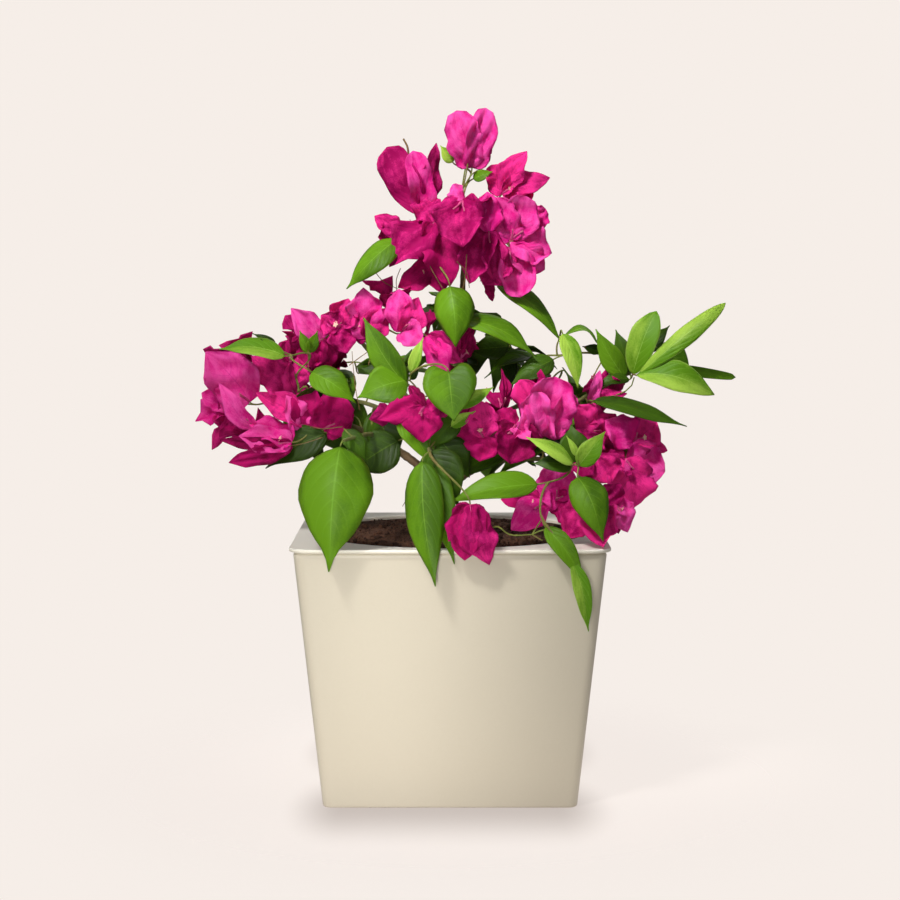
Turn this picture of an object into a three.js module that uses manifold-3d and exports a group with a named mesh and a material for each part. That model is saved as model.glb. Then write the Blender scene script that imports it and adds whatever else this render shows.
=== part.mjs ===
// Potted bougainvillea bush: a square tapered planter with a thin overhanging rim, potting soil,
// a short stem, forking boughs, and separate masses of leaves and of papery flower bracts.
// Millimetres, +Z up. The origin is the middle of the planter's flat underside, the front is -Y.

import * as THREE from "three";
import { mergeVertices } from "three/addons/utils/BufferGeometryUtils.js";
import Module from "manifold-3d";

const wasm = await Module();
wasm.setup();

// Planter
const bodyHeight = 184.2;
const baseHalf = 90.4;
const shoulderHalf = 109.2;
const cornerRadius = 7;
const wallThickness = 5;
const floorThickness = 7;
const edgeBevel = 1.2;
const rimThickness = 2.8;
const rimHalf = 112.5;
const rimCornerRadius = 16;
const openingRadius = 101.5;
const cornerSteps = 4;
const roundSteps = 40;

// Soil
const soilEdgeHeight = 185.4;
const soilCrownHeight = 187.5;
const soilCrownRadius = 30;

// Fit: the gap between touching pieces, and the same gap round the sharp points of foliage
const gap = 0.3;
const foliageGap = 0.7;

// Stem
const stemBaseRadius = 6.4;
const stemTopRadius = 4.6;
const rootFlare = 0.75;
const stemFoot = new THREE.Vector3(-4, 8, soilCrownHeight + gap);
const stemLean = new THREE.Vector3(-3, 6, 38);
const limbSides = 7;

// Single leaves, as flattened blades that are thickest along the midrib
const leafThickness = 5;
const leafOutline = [[0, 0], [0.14, 0.66], [0.38, 1], [0.72, 0.6], [1, 0]];

const planterPaint = new THREE.MeshStandardMaterial({ color: 0xe2d7c3, roughness: 0.35, metalness: 0 });
const soilPaint = new THREE.MeshStandardMaterial({ color: 0x50332a, roughness: 0.95, metalness: 0 });
const barkPaint = new THREE.MeshStandardMaterial({ color: 0x7a5f3f, roughness: 0.85, metalness: 0 });
const leafPaint = new THREE.MeshStandardMaterial({ color: 0x4f9422, roughness: 0.5, metalness: 0 });
const bractPaint = new THREE.MeshStandardMaterial({ color: 0xc81c7c, roughness: 0.6, metalness: 0 });

// Seeded random numbers from 0 to 1
function randomFrom(seed) {
  let state = (seed * 2654435761) >>> 0;
  return () => {
    state = (state + 0x6d2b79f5) >>> 0;
    let mixed = Math.imul(state ^ (state >>> 15), 1 | state);
    mixed = (mixed + Math.imul(mixed ^ (mixed >>> 7), 61 | mixed)) ^ mixed;
    return ((mixed ^ (mixed >>> 14)) >>> 0) / 4294967296;
  };
}

// Closed solid from a geometry: corners welded, triangles that shrink to a line left out
function solidFrom(geometry) {
  const bare = geometry.clone();
  bare.deleteAttribute("normal");
  bare.deleteAttribute("uv");
  const welded = mergeVertices(bare, 0.001);
  const order = welded.index.array;
  const kept = [];
  for (let i = 0; i < order.length; i += 3) {
    const [a, b, c] = [order[i], order[i + 1], order[i + 2]];
    if (a !== b && b !== c && c !== a) {
      kept.push(a, b, c);
    }
  }
  const vertProperties = new Float32Array(welded.attributes.position.array);
  return new wasm.Manifold(new wasm.Mesh({ numProp: 3, vertProperties, triVerts: new Uint32Array(kept) }));
}

function meshFrom(name, solid, material) {
  const shape = solid.getMesh();
  const geometry = new THREE.BufferGeometry();
  geometry.setAttribute("position", new THREE.BufferAttribute(new Float32Array(shape.vertProperties), 3));
  geometry.setIndex(new THREE.BufferAttribute(new Uint32Array(shape.triVerts), 1));
  geometry.computeVertexNormals();
  const mesh = new THREE.Mesh(geometry, material);
  mesh.name = name;
  return mesh;
}

function joined(solids) {
  return solids.reduce((whole, piece) => whole.add(piece));
}

function largest(solid) {
  const pieces = solid.decompose();
  return pieces.reduce((best, piece) => (piece.volume() > best.volume() ? piece : best));
}

// The piece of a cut limb that still holds its foot
function footPiece(solid, foot) {
  const distance = (piece) => {
    const { min, max } = piece.boundingBox();
    return new THREE.Box3(new THREE.Vector3(...min), new THREE.Vector3(...max)).distanceToPoint(foot);
  };
  return solid.decompose().reduce((best, piece) => (distance(piece) < distance(best) ? piece : best));
}

// ---- Planter and soil ----

function roundedSquare(half, radius) {
  const outline = new THREE.Shape();
  const middle = half - radius;
  outline.absarc(middle, middle, radius, 0, Math.PI / 2, false);
  outline.absarc(-middle, middle, radius, Math.PI / 2, Math.PI, false);
  outline.absarc(-middle, -middle, radius, Math.PI, 1.5 * Math.PI, false);
  outline.absarc(middle, -middle, radius, 1.5 * Math.PI, 2 * Math.PI, false);
  return outline.getPoints(cornerSteps);
}

// Block whose rounded-square section changes with height; each level is [height, half width, radius]
function squareBlock(levels) {
  const rings = levels.map(([height, half, radius]) =>
    roundedSquare(half, radius).map((point) => new THREE.Vector3(point.x, point.y, height)));
  const count = rings[0].length;
  const points = rings.flat();
  const order = [];
  for (let level = 0; level + 1 < rings.length; level += 1) {
    for (let i = 0; i < count; i += 1) {
      const a = level * count + i;
      const b = level * count + ((i + 1) % count);
      order.push(a, b, a + count, b, b + count, a + count);
    }
  }
  const topStart = (rings.length - 1) * count;
  for (let i = 1; i + 1 < count; i += 1) {
    order.push(0, i + 1, i);
    order.push(topStart, topStart + i, topStart + i + 1);
  }
  const geometry = new THREE.BufferGeometry().setFromPoints(points);
  geometry.setIndex(order);
  return solidFrom(geometry);
}

// Turned solid about the Z axis; the profile of [radius, height] starts and ends on the axis
function turned(profile) {
  const outline = profile.map(([radius, height]) => new THREE.Vector2(radius, height));
  const geometry = new THREE.LatheGeometry(outline, roundSteps);
  geometry.rotateX(Math.PI / 2);
  return solidFrom(geometry);
}

function halfAt(height, inset) {
  return baseHalf + (shoulderHalf - baseHalf) * (height / bodyHeight) - inset;
}

function planterBody() {
  const outer = squareBlock([
    [0, halfAt(0, edgeBevel), cornerRadius - edgeBevel],
    [edgeBevel, halfAt(edgeBevel, 0), cornerRadius],
    [bodyHeight, shoulderHalf, cornerRadius],
  ]);
  const hollow = squareBlock([
    [floorThickness, halfAt(floorThickness, wallThickness), cornerRadius / 2],
    [bodyHeight + 1, halfAt(bodyHeight + 1, wallThickness), cornerRadius / 2],
  ]);
  return outer.subtract(hollow);
}

function planterRim() {
  const low = bodyHeight + gap;
  const high = low + rimThickness;
  const plate = squareBlock([
    [low, rimHalf - 2.6, rimCornerRadius - 2.6],
    [low + 0.9, rimHalf - 0.5, rimCornerRadius - 0.5],
    [low + 1.8, rimHalf, rimCornerRadius],
    [high, rimHalf - 0.9, rimCornerRadius - 0.9],
  ]);
  const hole = turned([
    [0, low - 5],
    [openingRadius, low - 5],
    [openingRadius, high - 0.8],
    [openingRadius + 2, high + 1.2],
    [0, high + 1.2],
  ]);
  return plate.subtract(hole);
}

function soil() {
  const inset = wallThickness + gap;
  const top = bodyHeight - gap;
  const filling = squareBlock([
    [floorThickness + gap, halfAt(floorThickness + gap, inset), cornerRadius / 2],
    [top, halfAt(top, inset), cornerRadius / 2],
  ]);
  const edge = openingRadius - gap;
  const mound = turned([
    [0, top - 10],
    [edge, top - 10],
    [edge, soilEdgeHeight],
    [soilCrownRadius * 2, soilEdgeHeight + 1.2],
    [soilCrownRadius, soilCrownHeight],
    [0, soilCrownHeight],
  ]);
  return filling.add(mound);
}

// ---- Stem and boughs ----

// Tapering limb along a smooth curve; the thickness rule gives its radius from foot to tip
function limb(curve, radiusAt, rows, swell) {
  const geometry = new THREE.CylinderGeometry(1, 1, 1, limbSides, rows);
  const place = geometry.attributes.position;
  const across = new THREE.Vector3();
  const along = new THREE.Vector3();
  const sideways = new THREE.Vector3();
  for (let i = 0; i < place.count; i += 1) {
    const t = place.getY(i) + 0.5;
    const radius = radiusAt(t) + swell;
    along.copy(curve.getTangentAt(t));
    sideways.set(0, -1, 0).addScaledVector(along, along.y).normalize();
    across.crossVectors(along, sideways);
    const spot = curve.getPointAt(t);
    spot.addScaledVector(along, (2 * t - 1) * swell);
    spot.addScaledVector(across, place.getX(i) * radius);
    spot.addScaledVector(sideways, place.getZ(i) * radius);
    place.setXYZ(i, spot.x, spot.y, spot.z);
  }
  return solidFrom(geometry);
}

const fork = stemFoot.clone().add(stemLean);
const stemMiddle = stemFoot.clone().lerp(fork, 0.5).add(new THREE.Vector3(1.5, -1, 0));
const curves = { trunk: new THREE.CatmullRomCurve3([stemFoot, stemMiddle, fork]) };

function stem(swell) {
  const radiusAt = (t) =>
    THREE.MathUtils.lerp(stemBaseRadius, stemTopRadius, t) * (1 + rootFlare * Math.exp(-t * 9));
  return limb(curves.trunk, radiusAt, 8, swell).trimByPlane([0, 0, 1], stemFoot.z);
}

// Each bough leaves an older limb part-way along it; arch lifts its middle, bend gives it a zigzag
const boughs = {
  bough_top: { from: ["trunk", 1], tip: [10, 0, 384], radius: 4.2, arch: 0, bend: -7 },
  bough_left: { from: ["trunk", 0.86], tip: [-122, -10, 276], radius: 3.4, arch: 12, bend: -5 },
  bough_right: { from: ["trunk", 0.8], tip: [108, -24, 262], radius: 3.4, arch: 8, bend: 5 },
  bough_back: { from: ["trunk", 0.9], tip: [8, 98, 262], radius: 3.2, arch: 9, bend: -5 },
  bough_front: { from: ["trunk", 0.62], tip: [-14, -96, 254], radius: 2.7, arch: 14, bend: 5 },
  bough_shoulder: { from: ["bough_top", 0.16], tip: [-72, -8, 336], radius: 2.9, arch: 2, bend: 5 },
  bough_left_front: { from: ["bough_left", 0.3], tip: [-74, -98, 262], radius: 2.4, arch: 8, bend: -5 },
  bough_right_front: { from: ["bough_right", 0.24], tip: [84, -86, 244], radius: 2.5, arch: 5, bend: -5 },
  bough_right_shoot: { from: ["bough_right", 0.5], tip: [134, -14, 306], radius: 2.4, arch: 5, bend: 6 },
  bough_back_left: { from: ["bough_back", 0.3], tip: [-92, 58, 284], radius: 2.7, arch: 8, bend: 6 },
  bough_back_right: { from: ["bough_back", 0.42], tip: [88, 60, 284], radius: 2.7, arch: 8, bend: -6 },
};

function boughCurve({ from: [parent, fraction], tip, arch, bend }) {
  const start = curves[parent].getPointAt(fraction);
  const end = new THREE.Vector3(...tip);
  const run = end.clone().sub(start);
  const sideways = new THREE.Vector3(-run.y, run.x, 0).normalize();
  const path = [0, 0.3, 0.64, 1].map((t, i) => {
    const spot = start.clone().lerp(end, t);
    spot.z += arch * 4 * t * (1 - t);
    return spot.addScaledVector(sideways, [0, bend, -0.7 * bend, 0][i]);
  });
  return new THREE.CatmullRomCurve3(path);
}

function bough(name, { radius }, swell) {
  return limb(curves[name], (t) => THREE.MathUtils.lerp(radius, radius * 0.42, t), 7, swell);
}

// ---- Foliage ----

// Uneven ball: a subdivided icosahedron with seeded dents, stretched to three half sizes.
// The corner nearest in direction to each tip is drawn out to that tip.
function puff([at, half], tips, random, swell) {
  const ball = new THREE.IcosahedronGeometry(1, 1).deleteAttribute("normal").deleteAttribute("uv");
  const rough = mergeVertices(ball, 0.001);
  const place = rough.attributes.position;
  const centre = new THREE.Vector3(...at);
  const size = new THREE.Vector3(...half);
  const corners = [];
  for (let i = 0; i < place.count; i += 1) {
    const reach = 0.82 + 0.36 * random();
    corners.push(new THREE.Vector3().fromBufferAttribute(place, i).multiply(size).multiplyScalar(reach));
  }
  for (const tip of tips) {
    const arm = new THREE.Vector3(...tip).sub(centre);
    const nearest = corners.reduce((best, corner) => (corner.angleTo(arm) < best.angleTo(arm) ? corner : best));
    nearest.copy(arm);
  }
  corners.forEach((corner, i) => {
    const spot = corner.clone().setLength(corner.length() + swell).add(centre);
    place.setXYZ(i, spot.x, spot.y, spot.z);
  });
  return solidFrom(rough);
}

// Pointed leaf from its stalk end to its tip, facing one way and bowed towards that face
function leaf([from, to, width, face = [0, -1, 0.3], bow = 0.06], swell) {
  const start = new THREE.Vector3(...from);
  const run = new THREE.Vector3(...to).sub(start);
  const length = run.length();
  const along = run.clone().normalize();
  const facing = new THREE.Vector3(...face);
  const up = facing.addScaledVector(along, -facing.dot(along)).normalize();
  const across = new THREE.Vector3().crossVectors(along, up);
  const geometry = new THREE.LatheGeometry(leafOutline.map(([t, size]) => new THREE.Vector2(size, t)), 4);
  const place = geometry.attributes.position;
  for (let i = 0; i < place.count; i += 1) {
    const t = place.getY(i);
    const lift = place.getZ(i) * (leafThickness / 2 + swell) + bow * length * 4 * t * (1 - t);
    const spot = start.clone();
    spot.addScaledVector(along, t * (length + 2 * swell) - swell);
    spot.addScaledVector(across, place.getX(i) * (width / 2 + swell));
    spot.addScaledVector(up, lift);
    place.setXYZ(i, spot.x, spot.y, spot.z);
  }
  return solidFrom(geometry);
}

// A mass: puffs as [centre, half sizes], tips that its points reach, and single leaves as
// [stalk end, tip, width, face, bow]. Each tip belongs to the puff whose centre is nearest.
function massSolid({ puffs = [], tips = [], leaves = [] }, seed, swell) {
  const random = randomFrom(seed);
  const middle = ([at]) => new THREE.Vector3(...at);
  const owner = tips.map((tip) => {
    const distances = puffs.map((ball) => middle(ball).distanceTo(new THREE.Vector3(...tip)));
    return distances.indexOf(Math.min(...distances));
  });
  const solids = puffs.map((ball, k) => puff(ball, tips.filter((tip, i) => owner[i] === k), random, swell));
  solids.push(...leaves.map((plan) => leaf(plan, swell)));
  return joined(solids);
}

const leafMasses = {
  leaf_top_left: {
    leaves: [[[-38, -18, 399], [-74, -22, 369], 34, [-0.5, -0.8, 0.5]]],
  },
  leaves_upper_right: {
    puffs: [[[52, -19, 336], [21, 15, 13]], [[4, -35, 352], [8, 8, 9]]],
    leaves: [
      [[2, -38, 368], [-1, -44, 327], 30],
      [[4, -30, 350], [64, -32, 321], 28, [0.1, -0.5, 1], 0.16],
      [[38, -10, 364], [82, -12, 328], 27, [0.4, -0.5, 0.8], 0.12],
    ],
  },
  leaves_left_middle: {
    puffs: [[[-62, -46, 305], [13, 7, 10]], [[-42, -47, 308], [12, 6, 10]]],
    leaves: [
      [[-60, -40, 347], [-28, -50, 299], 26, [0.1, -1, 0.2]],
      [[-98, -50, 315], [-60, -52, 292], 28, [0.1, -0.8, 0.6], 0.1],
      [[-68, -46, 300], [-30, -50, 290], 26, [0, -0.8, 0.6], 0.1],
    ],
  },
  leaves_right_inner: {
    puffs: [[[102, -20, 322], [16, 11, 13]], [[116, -14, 306], [14, 10, 12]]],
    leaves: [
      [[92, -24, 334], [96, -40, 292], 22, [-0.2, -1, 0.1]],
      [[74, -18, 330], [114, -16, 328], 18, [0, -0.5, 1], 0.2],
    ],
  },
  leaves_right_up: {
    puffs: [[[142, -14, 316], [14, 10, 12]]],
    leaves: [
      [[132, -22, 300], [148, -22, 351], 29, [-0.4, -1, 0]],
      [[130, -8, 304], [118, -8, 342], 25],
      [[138, -8, 308], [209, 0, 302], 17, [0, -0.4, 1], 0.06],
      [[138, -6, 308], [172, 12, 336], 24, [0, -0.6, 0.8]],
    ],
  },
  leaves_right_long: {
    leaves: [
      [[132, -30, 298], [200, -28, 354], 27, [-0.4, -0.8, 0.6], 0.1],
      [[128, -32, 296], [191, -36, 287], 27, [0, -0.6, 0.8], 0.16],
    ],
  },
  leaf_right_low: {
    leaves: [[[108, -46, 284], [170, -48, 266], 26, [0.1, -0.5, 0.9], 0.06]],
  },
  leaves_left_top: {
    leaves: [[[-114, -36, 321], [-166, -38, 321], 22, [0, -0.4, 1], 0.08]],
  },
  leaves_left_under: {
    puffs: [[[-100, -10, 252], [24, 16, 13]]],
    tips: [[-132, -14, 240], [-62, -22, 246], [-92, -24, 234]],
  },
  leaves_heart: {
    leaves: [[[0, -72, 315], [2, -82, 275], 48, [0, -0.9, 0.5]]],
  },
  leaf_hanging_left: {
    leaves: [[[-75, -102, 261], [-84, -127, 175], 52, [-0.1, -1, 0.2], 0.07]],
  },
  leaf_hanging_middle: {
    leaves: [
      [[-18, -102, 250], [-7, -126, 166], 32, [-0.2, -1, 0.2], 0.07],
      [[-16, -102, 248], [8, -120, 194], 24, [0.3, -1, 0.2], 0.05],
    ],
  },
  leaf_low_middle: {
    leaves: [[[62, -94, 239], [2, -100, 220], 26, [0, -0.8, 0.7], 0.1]],
  },
  leaves_rosette: {
    puffs: [[[82, -88, 250], [16, 8, 9]]],
    tips: [[50, -98, 250], [114, -96, 250], [100, -94, 265], [66, -94, 264]],
    leaves: [[[92, -92, 250], [106, -110, 192], 30, [0, -1, 0.2]]],
  },
  leaf_trailing: {
    leaves: [[[66, -114, 202], [95, -127, 136], 24, [0.3, -1, 0.2], 0.06]],
  },
  leaves_inner: {
    puffs: [[[56, 4, 294], [30, 20, 21]], [[34, 10, 312], [20, 16, 15]]],
  },
  leaves_low_inner: {
    puffs: [[[34, -26, 232], [32, 18, 11]], [[84, -22, 226], [28, 18, 14]]],
    tips: [[-6, -34, 230], [124, -30, 210]],
  },
  leaves_back_upper: {
    puffs: [[[4, 48, 332], [36, 26, 22]]],
    tips: [[-38, 52, 324], [48, 62, 322], [8, 84, 344]],
  },
  leaves_back_middle: {
    puffs: [[[-26, 76, 294], [26, 26, 22]]],
    tips: [[-50, 104, 306], [-10, 110, 286]],
  },
  leaves_back_left: {
    puffs: [[[-90, 44, 260], [32, 30, 21]]],
    tips: [[-132, 50, 246], [-100, 92, 250], [-74, 70, 232]],
  },
  leaves_back_right: {
    puffs: [[[94, 46, 254], [32, 30, 23]]],
    tips: [[138, 52, 240], [102, 92, 246], [74, 72, 230]],
  },
  leaves_back_hanging: {
    puffs: [[[-34, 96, 248], [24, 18, 15]]],
    leaves: [
      [[-40, 104, 250], [-52, 127, 176], 40, [0, 1, 0.2], 0.06],
      [[-30, 102, 246], [40, 126, 204], 32, [0, 1, 0.4], 0.06],
    ],
  },
};

const bloomMasses = {
  bloom_top_tip: {
    puffs: [[[15, -8, 475], [20, 10, 18]]],
    tips: [[-1, -10, 494], [30, -8, 498], [15, -8, 450], [34, -8, 482]],
  },
  bloom_top_left: {
    puffs: [[[-28, -4, 448], [21, 18, 20]]],
    tips: [[-57, -6, 468], [-32, -4, 476], [-7, -6, 470], [-12, -10, 424], [-44, -8, 446], [-42, -6, 474]],
  },
  bloom_top_right: {
    puffs: [[[52, 2, 442], [18, 15, 15]]],
    tips: [[56, -2, 466], [75, 5, 447], [30, -4, 436]],
  },
  bloom_top_front: {
    puffs: [[[4, -30, 414], [23, 14, 25]]],
    tips: [[4, -44, 420], [-16, -34, 434]],
  },
  bloom_top_low_right: {
    puffs: [[[44, -12, 396], [24, 22, 28]], [[22, -12, 378], [16, 14, 14]]],
    tips: [[75, -10, 392], [60, -12, 430], [38, -16, 358], [60, -30, 374]],
  },
  bloom_top_low_left: {
    puffs: [[[-16, -14, 390], [28, 20, 22]]],
    tips: [[-57, -14, 410], [-42, -20, 373], [-20, -36, 384], [-34, -10, 412]],
  },
  bloom_top_back: {
    puffs: [[[14, 28, 424], [28, 22, 32]]],
    tips: [[18, 58, 430], [40, 42, 404], [-14, 46, 408]],
  },
  bloom_shoulder_left: {
    puffs: [[[-99, -12, 336], [19, 18, 17]], [[-74, -12, 341], [18, 17, 17]]],
    tips: [[-120, -16, 346], [-119, -16, 320], [-84, -12, 360], [-80, 8, 354]],
  },
  bloom_shoulder_middle: {
    puffs: [[[-44, -14, 346], [20, 17, 18]], [[-18, -18, 338], [18, 15, 18]], [[3, -26, 323], [16, 12, 15]]],
    tips: [[-66, -16, 364], [-30, -16, 366], [16, -28, 340], [8, -28, 306]],
  },
  bloom_left_far: {
    puffs: [[[-160, -12, 302], [19, 18, 19]], [[-166, -14, 279], [19, 16, 15]]],
    tips: [[-180, -10, 320], [-148, -10, 323], [-189, -10, 267], [-186, -14, 290]],
  },
  bloom_left_inner: {
    puffs: [[[-124, -18, 298], [22, 18, 22]], [[-96, -18, 284], [24, 17, 21]]],
    tips: [[-138, -22, 322], [-68, -26, 278], [-104, 8, 296]],
  },
  bloom_left_low: {
    puffs: [[[-134, -26, 260], [28, 18, 16]]],
    tips: [[-168, -30, 265], [-160, -30, 240], [-102, -30, 262], [-130, -46, 252]],
  },
  bloom_middle: {
    puffs: [[[-24, -62, 277], [17, 9, 13]]],
    tips: [[-49, -62, 279], [-1, -62, 284], [-20, -66, 258]],
  },
  bloom_centre: {
    puffs: [[[26, -52, 266], [24, 18, 22]], [[66, -48, 280], [26, 20, 24]]],
    tips: [[14, -54, 292], [2, -58, 262], [58, -50, 308], [94, -46, 276], [44, -64, 248], [72, -72, 284]],
  },
  bloom_right: {
    puffs: [[[124, -28, 254], [26, 23, 26]], [[106, -22, 284], [20, 17, 17]], [[134, -28, 234], [20, 18, 16]]],
    tips: [[157, -28, 243], [152, -26, 271], [136, -30, 214], [130, -22, 292], [108, -22, 307], [154, -28, 224]],
  },
  bloom_right_low: {
    puffs: [[[110, -82, 211], [21, 16, 15]], [[86, -72, 226], [18, 13, 15]]],
    tips: [[84, -92, 202], [130, -82, 202], [108, -104, 190], [114, -98, 216]],
  },
  bloom_centre_low: {
    puffs: [[[54, -70, 219], [21, 14, 14]], [[72, -58, 238], [15, 14, 14]]],
    tips: [[34, -76, 227], [46, -82, 200], [88, -60, 246]],
  },
  bloom_hanging: {
    puffs: [[[16, -122, 203], [14, 6, 17]]],
    tips: [[14, -114, 226], [20, -125, 180], [33, -122, 200], [2, -124, 192]],
  },
  bloom_back_left: {
    puffs: [[[-94, 60, 312], [28, 25, 24]], [[-122, 42, 298], [21, 20, 18]]],
    tips: [[-150, 44, 304], [-96, 92, 322], [-100, 58, 340]],
  },
  bloom_back_right: {
    puffs: [[[84, 64, 302], [32, 27, 25]]],
    tips: [[84, 100, 308], [122, 66, 292], [78, 60, 334]],
  },
  bloom_back_upper: {
    puffs: [[[36, 74, 344], [24, 20, 17]]],
    tips: [[60, 76, 352], [36, 100, 350], [20, 72, 364]],
  },
  bloom_back_low: {
    puffs: [[[12, 116, 262], [32, 24, 23]]],
    tips: [[12, 148, 266], [-22, 126, 274], [46, 128, 248]],
  },
};

// ---- Assembly ----

const group = new THREE.Group();
group.name = "potted_bougainvillea";
group.add(meshFrom("planter_body", planterBody(), planterPaint));
group.add(meshFrom("planter_rim", planterRim(), planterPaint));
group.add(meshFrom("soil", soil(), soilPaint));
group.add(meshFrom("trunk", stem(0), barkPaint));

// Foliage is placed in turn; each mass stops short of those placed before it
const masses = [];
let taken = stem(gap);
let seed = 11;
for (const [list, paint] of [[leafMasses, leafPaint], [bloomMasses, bractPaint]]) {
  for (const [name, plan] of Object.entries(list)) {
    masses.push([name, largest(massSolid(plan, seed, 0).subtract(taken)), paint]);
    taken = taken.add(massSolid(plan, seed, foliageGap));
    seed += 1;
  }
}

// Boughs stop where they enter a mass, and start just clear of the limb they grow from
for (const [name, plan] of Object.entries(boughs)) {
  curves[name] = boughCurve(plan);
  const foot = curves[name].getPointAt(0.03);
  group.add(meshFrom(name, footPiece(bough(name, plan, 0).subtract(taken), foot), barkPaint));
  taken = taken.add(bough(name, plan, gap));
}

for (const [name, solid, paint] of masses) {
  group.add(meshFrom(name, solid, paint));
}

export default group;
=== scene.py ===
import math

import bpy
import numpy as np
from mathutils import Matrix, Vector


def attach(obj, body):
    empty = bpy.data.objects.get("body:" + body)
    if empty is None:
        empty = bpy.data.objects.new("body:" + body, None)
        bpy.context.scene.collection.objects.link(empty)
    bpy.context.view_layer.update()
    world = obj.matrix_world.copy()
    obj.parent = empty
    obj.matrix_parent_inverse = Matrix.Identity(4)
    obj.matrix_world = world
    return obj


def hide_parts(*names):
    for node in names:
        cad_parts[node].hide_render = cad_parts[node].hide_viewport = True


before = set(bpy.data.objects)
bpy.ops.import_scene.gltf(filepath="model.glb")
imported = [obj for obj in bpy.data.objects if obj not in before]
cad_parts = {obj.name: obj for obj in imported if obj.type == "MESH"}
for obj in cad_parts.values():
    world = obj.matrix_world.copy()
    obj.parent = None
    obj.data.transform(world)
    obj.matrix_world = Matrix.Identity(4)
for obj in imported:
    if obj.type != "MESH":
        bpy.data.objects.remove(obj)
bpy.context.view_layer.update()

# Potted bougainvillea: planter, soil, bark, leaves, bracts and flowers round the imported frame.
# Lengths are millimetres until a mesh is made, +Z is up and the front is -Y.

mm = 0.001
rng = np.random.default_rng(41)
print("frame loaded:", len(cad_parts), "nodes")


# Mesh helpers

def unit(v):  # vectors scaled to length one
    return v / np.maximum(np.linalg.norm(v, axis=-1, keepdims=True), 1e-9)


# Mesh from arrays. Points are in mm, faceSets are arrays of equal-sided faces with a smooth flag for
# each set, uvSets give a pair for every face corner, marks give a number for every point.
def makePiece(name, points, faceSets, smooth, uvSets=None, marks=None):
    mesh = bpy.data.meshes.new(name)
    corners = np.concatenate([faces.ravel() for faces in faceSets])
    counts = [len(faces) for faces in faceSets]
    sizes = np.repeat([faces.shape[1] for faces in faceSets], counts)
    mesh.vertices.add(len(points))
    mesh.vertices.foreach_set("co", (np.asarray(points) * mm).astype(np.float32).ravel())
    mesh.loops.add(len(corners))
    mesh.loops.foreach_set("vertex_index", corners.astype(np.int32))
    mesh.polygons.add(len(sizes))
    mesh.polygons.foreach_set("loop_start", (np.cumsum(sizes) - sizes).astype(np.int32))
    mesh.polygons.foreach_set("use_smooth", np.repeat(smooth, counts))
    for label, values in (uvSets or {}).items():
        flat = np.concatenate([part.ravel() for part in values]).astype(np.float32)
        mesh.uv_layers.new(name=label).uv.foreach_set("vector", flat)
    for label, values in (marks or {}).items():
        data = mesh.attributes.new(label, "FLOAT", "POINT").data
        data.foreach_set("value", values.astype(np.float32).ravel())
    mesh.update()
    mesh.validate()
    piece = bpy.data.objects.new(name, mesh)
    bpy.context.scene.collection.objects.link(piece)
    return piece


def finishPiece(piece, material, nodes):
    piece.data.materials.append(material)
    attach(piece, "root")
    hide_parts(*nodes)
    print(piece.name, len(piece.data.polygons), "faces")


def nodePoints(name):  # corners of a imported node, in mm
    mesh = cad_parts[name].data
    flat = np.zeros(len(mesh.vertices) * 3, np.float32)
    mesh.vertices.foreach_get("co", flat)
    return flat.reshape(-1, 3) / mm


def roundAngles(sides):  # equal angles once round
    return np.linspace(0, 2 * np.pi, sides, endpoint=False)


# Material helpers. They add to the tree that newMaterial or newGroup has put on the bench.

bench = {}


def setInputs(node, values):  # a socket is linked, anything else is set as a plain value
    for key, value in values.items():
        if isinstance(value, bpy.types.NodeSocket):
            bench["tree"].links.new(value, node.inputs[key])
        else:
            node.inputs[key].default_value = value


def addNode(kind, inputs=None, **settings):
    node = bench["tree"].nodes.new(kind)
    for key, value in settings.items():
        setattr(node, key, value)
    setInputs(node, inputs or {})
    return node


def calc(operation, a, b=0.0, c=0.0, clamp=False):
    return addNode("ShaderNodeMath", {0: a, 1: b, 2: c}, operation=operation, use_clamp=clamp).outputs[0]


def times(a, b):
    return calc("MULTIPLY", a, b)


def timesPlus(a, b, c):
    return calc("MULTIPLY_ADD", a, b, c)


def minus(a, b, clamp=False):
    return calc("SUBTRACT", a, b, clamp=clamp)


def fade(value, low, high):  # smooth step from 0 at low to 1 at high
    inputs = {"Value": value, "From Min": low, "From Max": high}
    return addNode("ShaderNodeMapRange", inputs, interpolation_type="SMOOTHSTEP").outputs[0]


def blendColor(amount, first, second):
    return addNode("ShaderNodeMix", {0: amount, 6: first, 7: second}, data_type="RGBA").outputs[2]


def mixShader(amount, first, second, output):  # two shaders mixed into the tree's output
    mix = addNode("ShaderNodeMixShader", {0: amount, 1: first.outputs[0], 2: second.outputs[0]})
    setInputs(bench["tree"].nodes[output], {"Surface": mix.outputs[0]})


def mark(name):  # a number carried by each point of the mesh
    return addNode("ShaderNodeAttribute", attribute_name=name).outputs["Fac"]


def noise(vector, scale, detail=3.0):
    return addNode("ShaderNodeTexNoise", {"Vector": vector, "Scale": scale, "Detail": detail}).outputs[0]


def objectPlace():
    return addNode("ShaderNodeTexCoord").outputs["Object"]


def splitAxes(vector):
    return addNode("ShaderNodeSeparateXYZ", {0: vector}).outputs


def bladePlace():  # across and along the blade, both 0 to 1
    return splitAxes(addNode("ShaderNodeUVMap", uv_map="bladeUv").outputs[0])


def newMaterial(name):
    material = bpy.data.materials.new(name)
    material.use_nodes = True
    bench["tree"] = material.node_tree
    return material, bench["tree"].nodes["Principled BSDF"]


# Look of a surface; the relief is what makes its bump, how strong it is and how deep in metres.
def setLook(surface, color, rough, shine, relief=None):
    setInputs(surface, {"Base Color": color, "Roughness": rough, "Specular IOR Level": shine})
    if relief:
        bump = addNode("ShaderNodeBump", dict(zip(("Height", "Strength", "Distance"), relief)))
        setInputs(surface, {"Normal": bump.outputs[0]})
        return bump.outputs[0]


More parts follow.
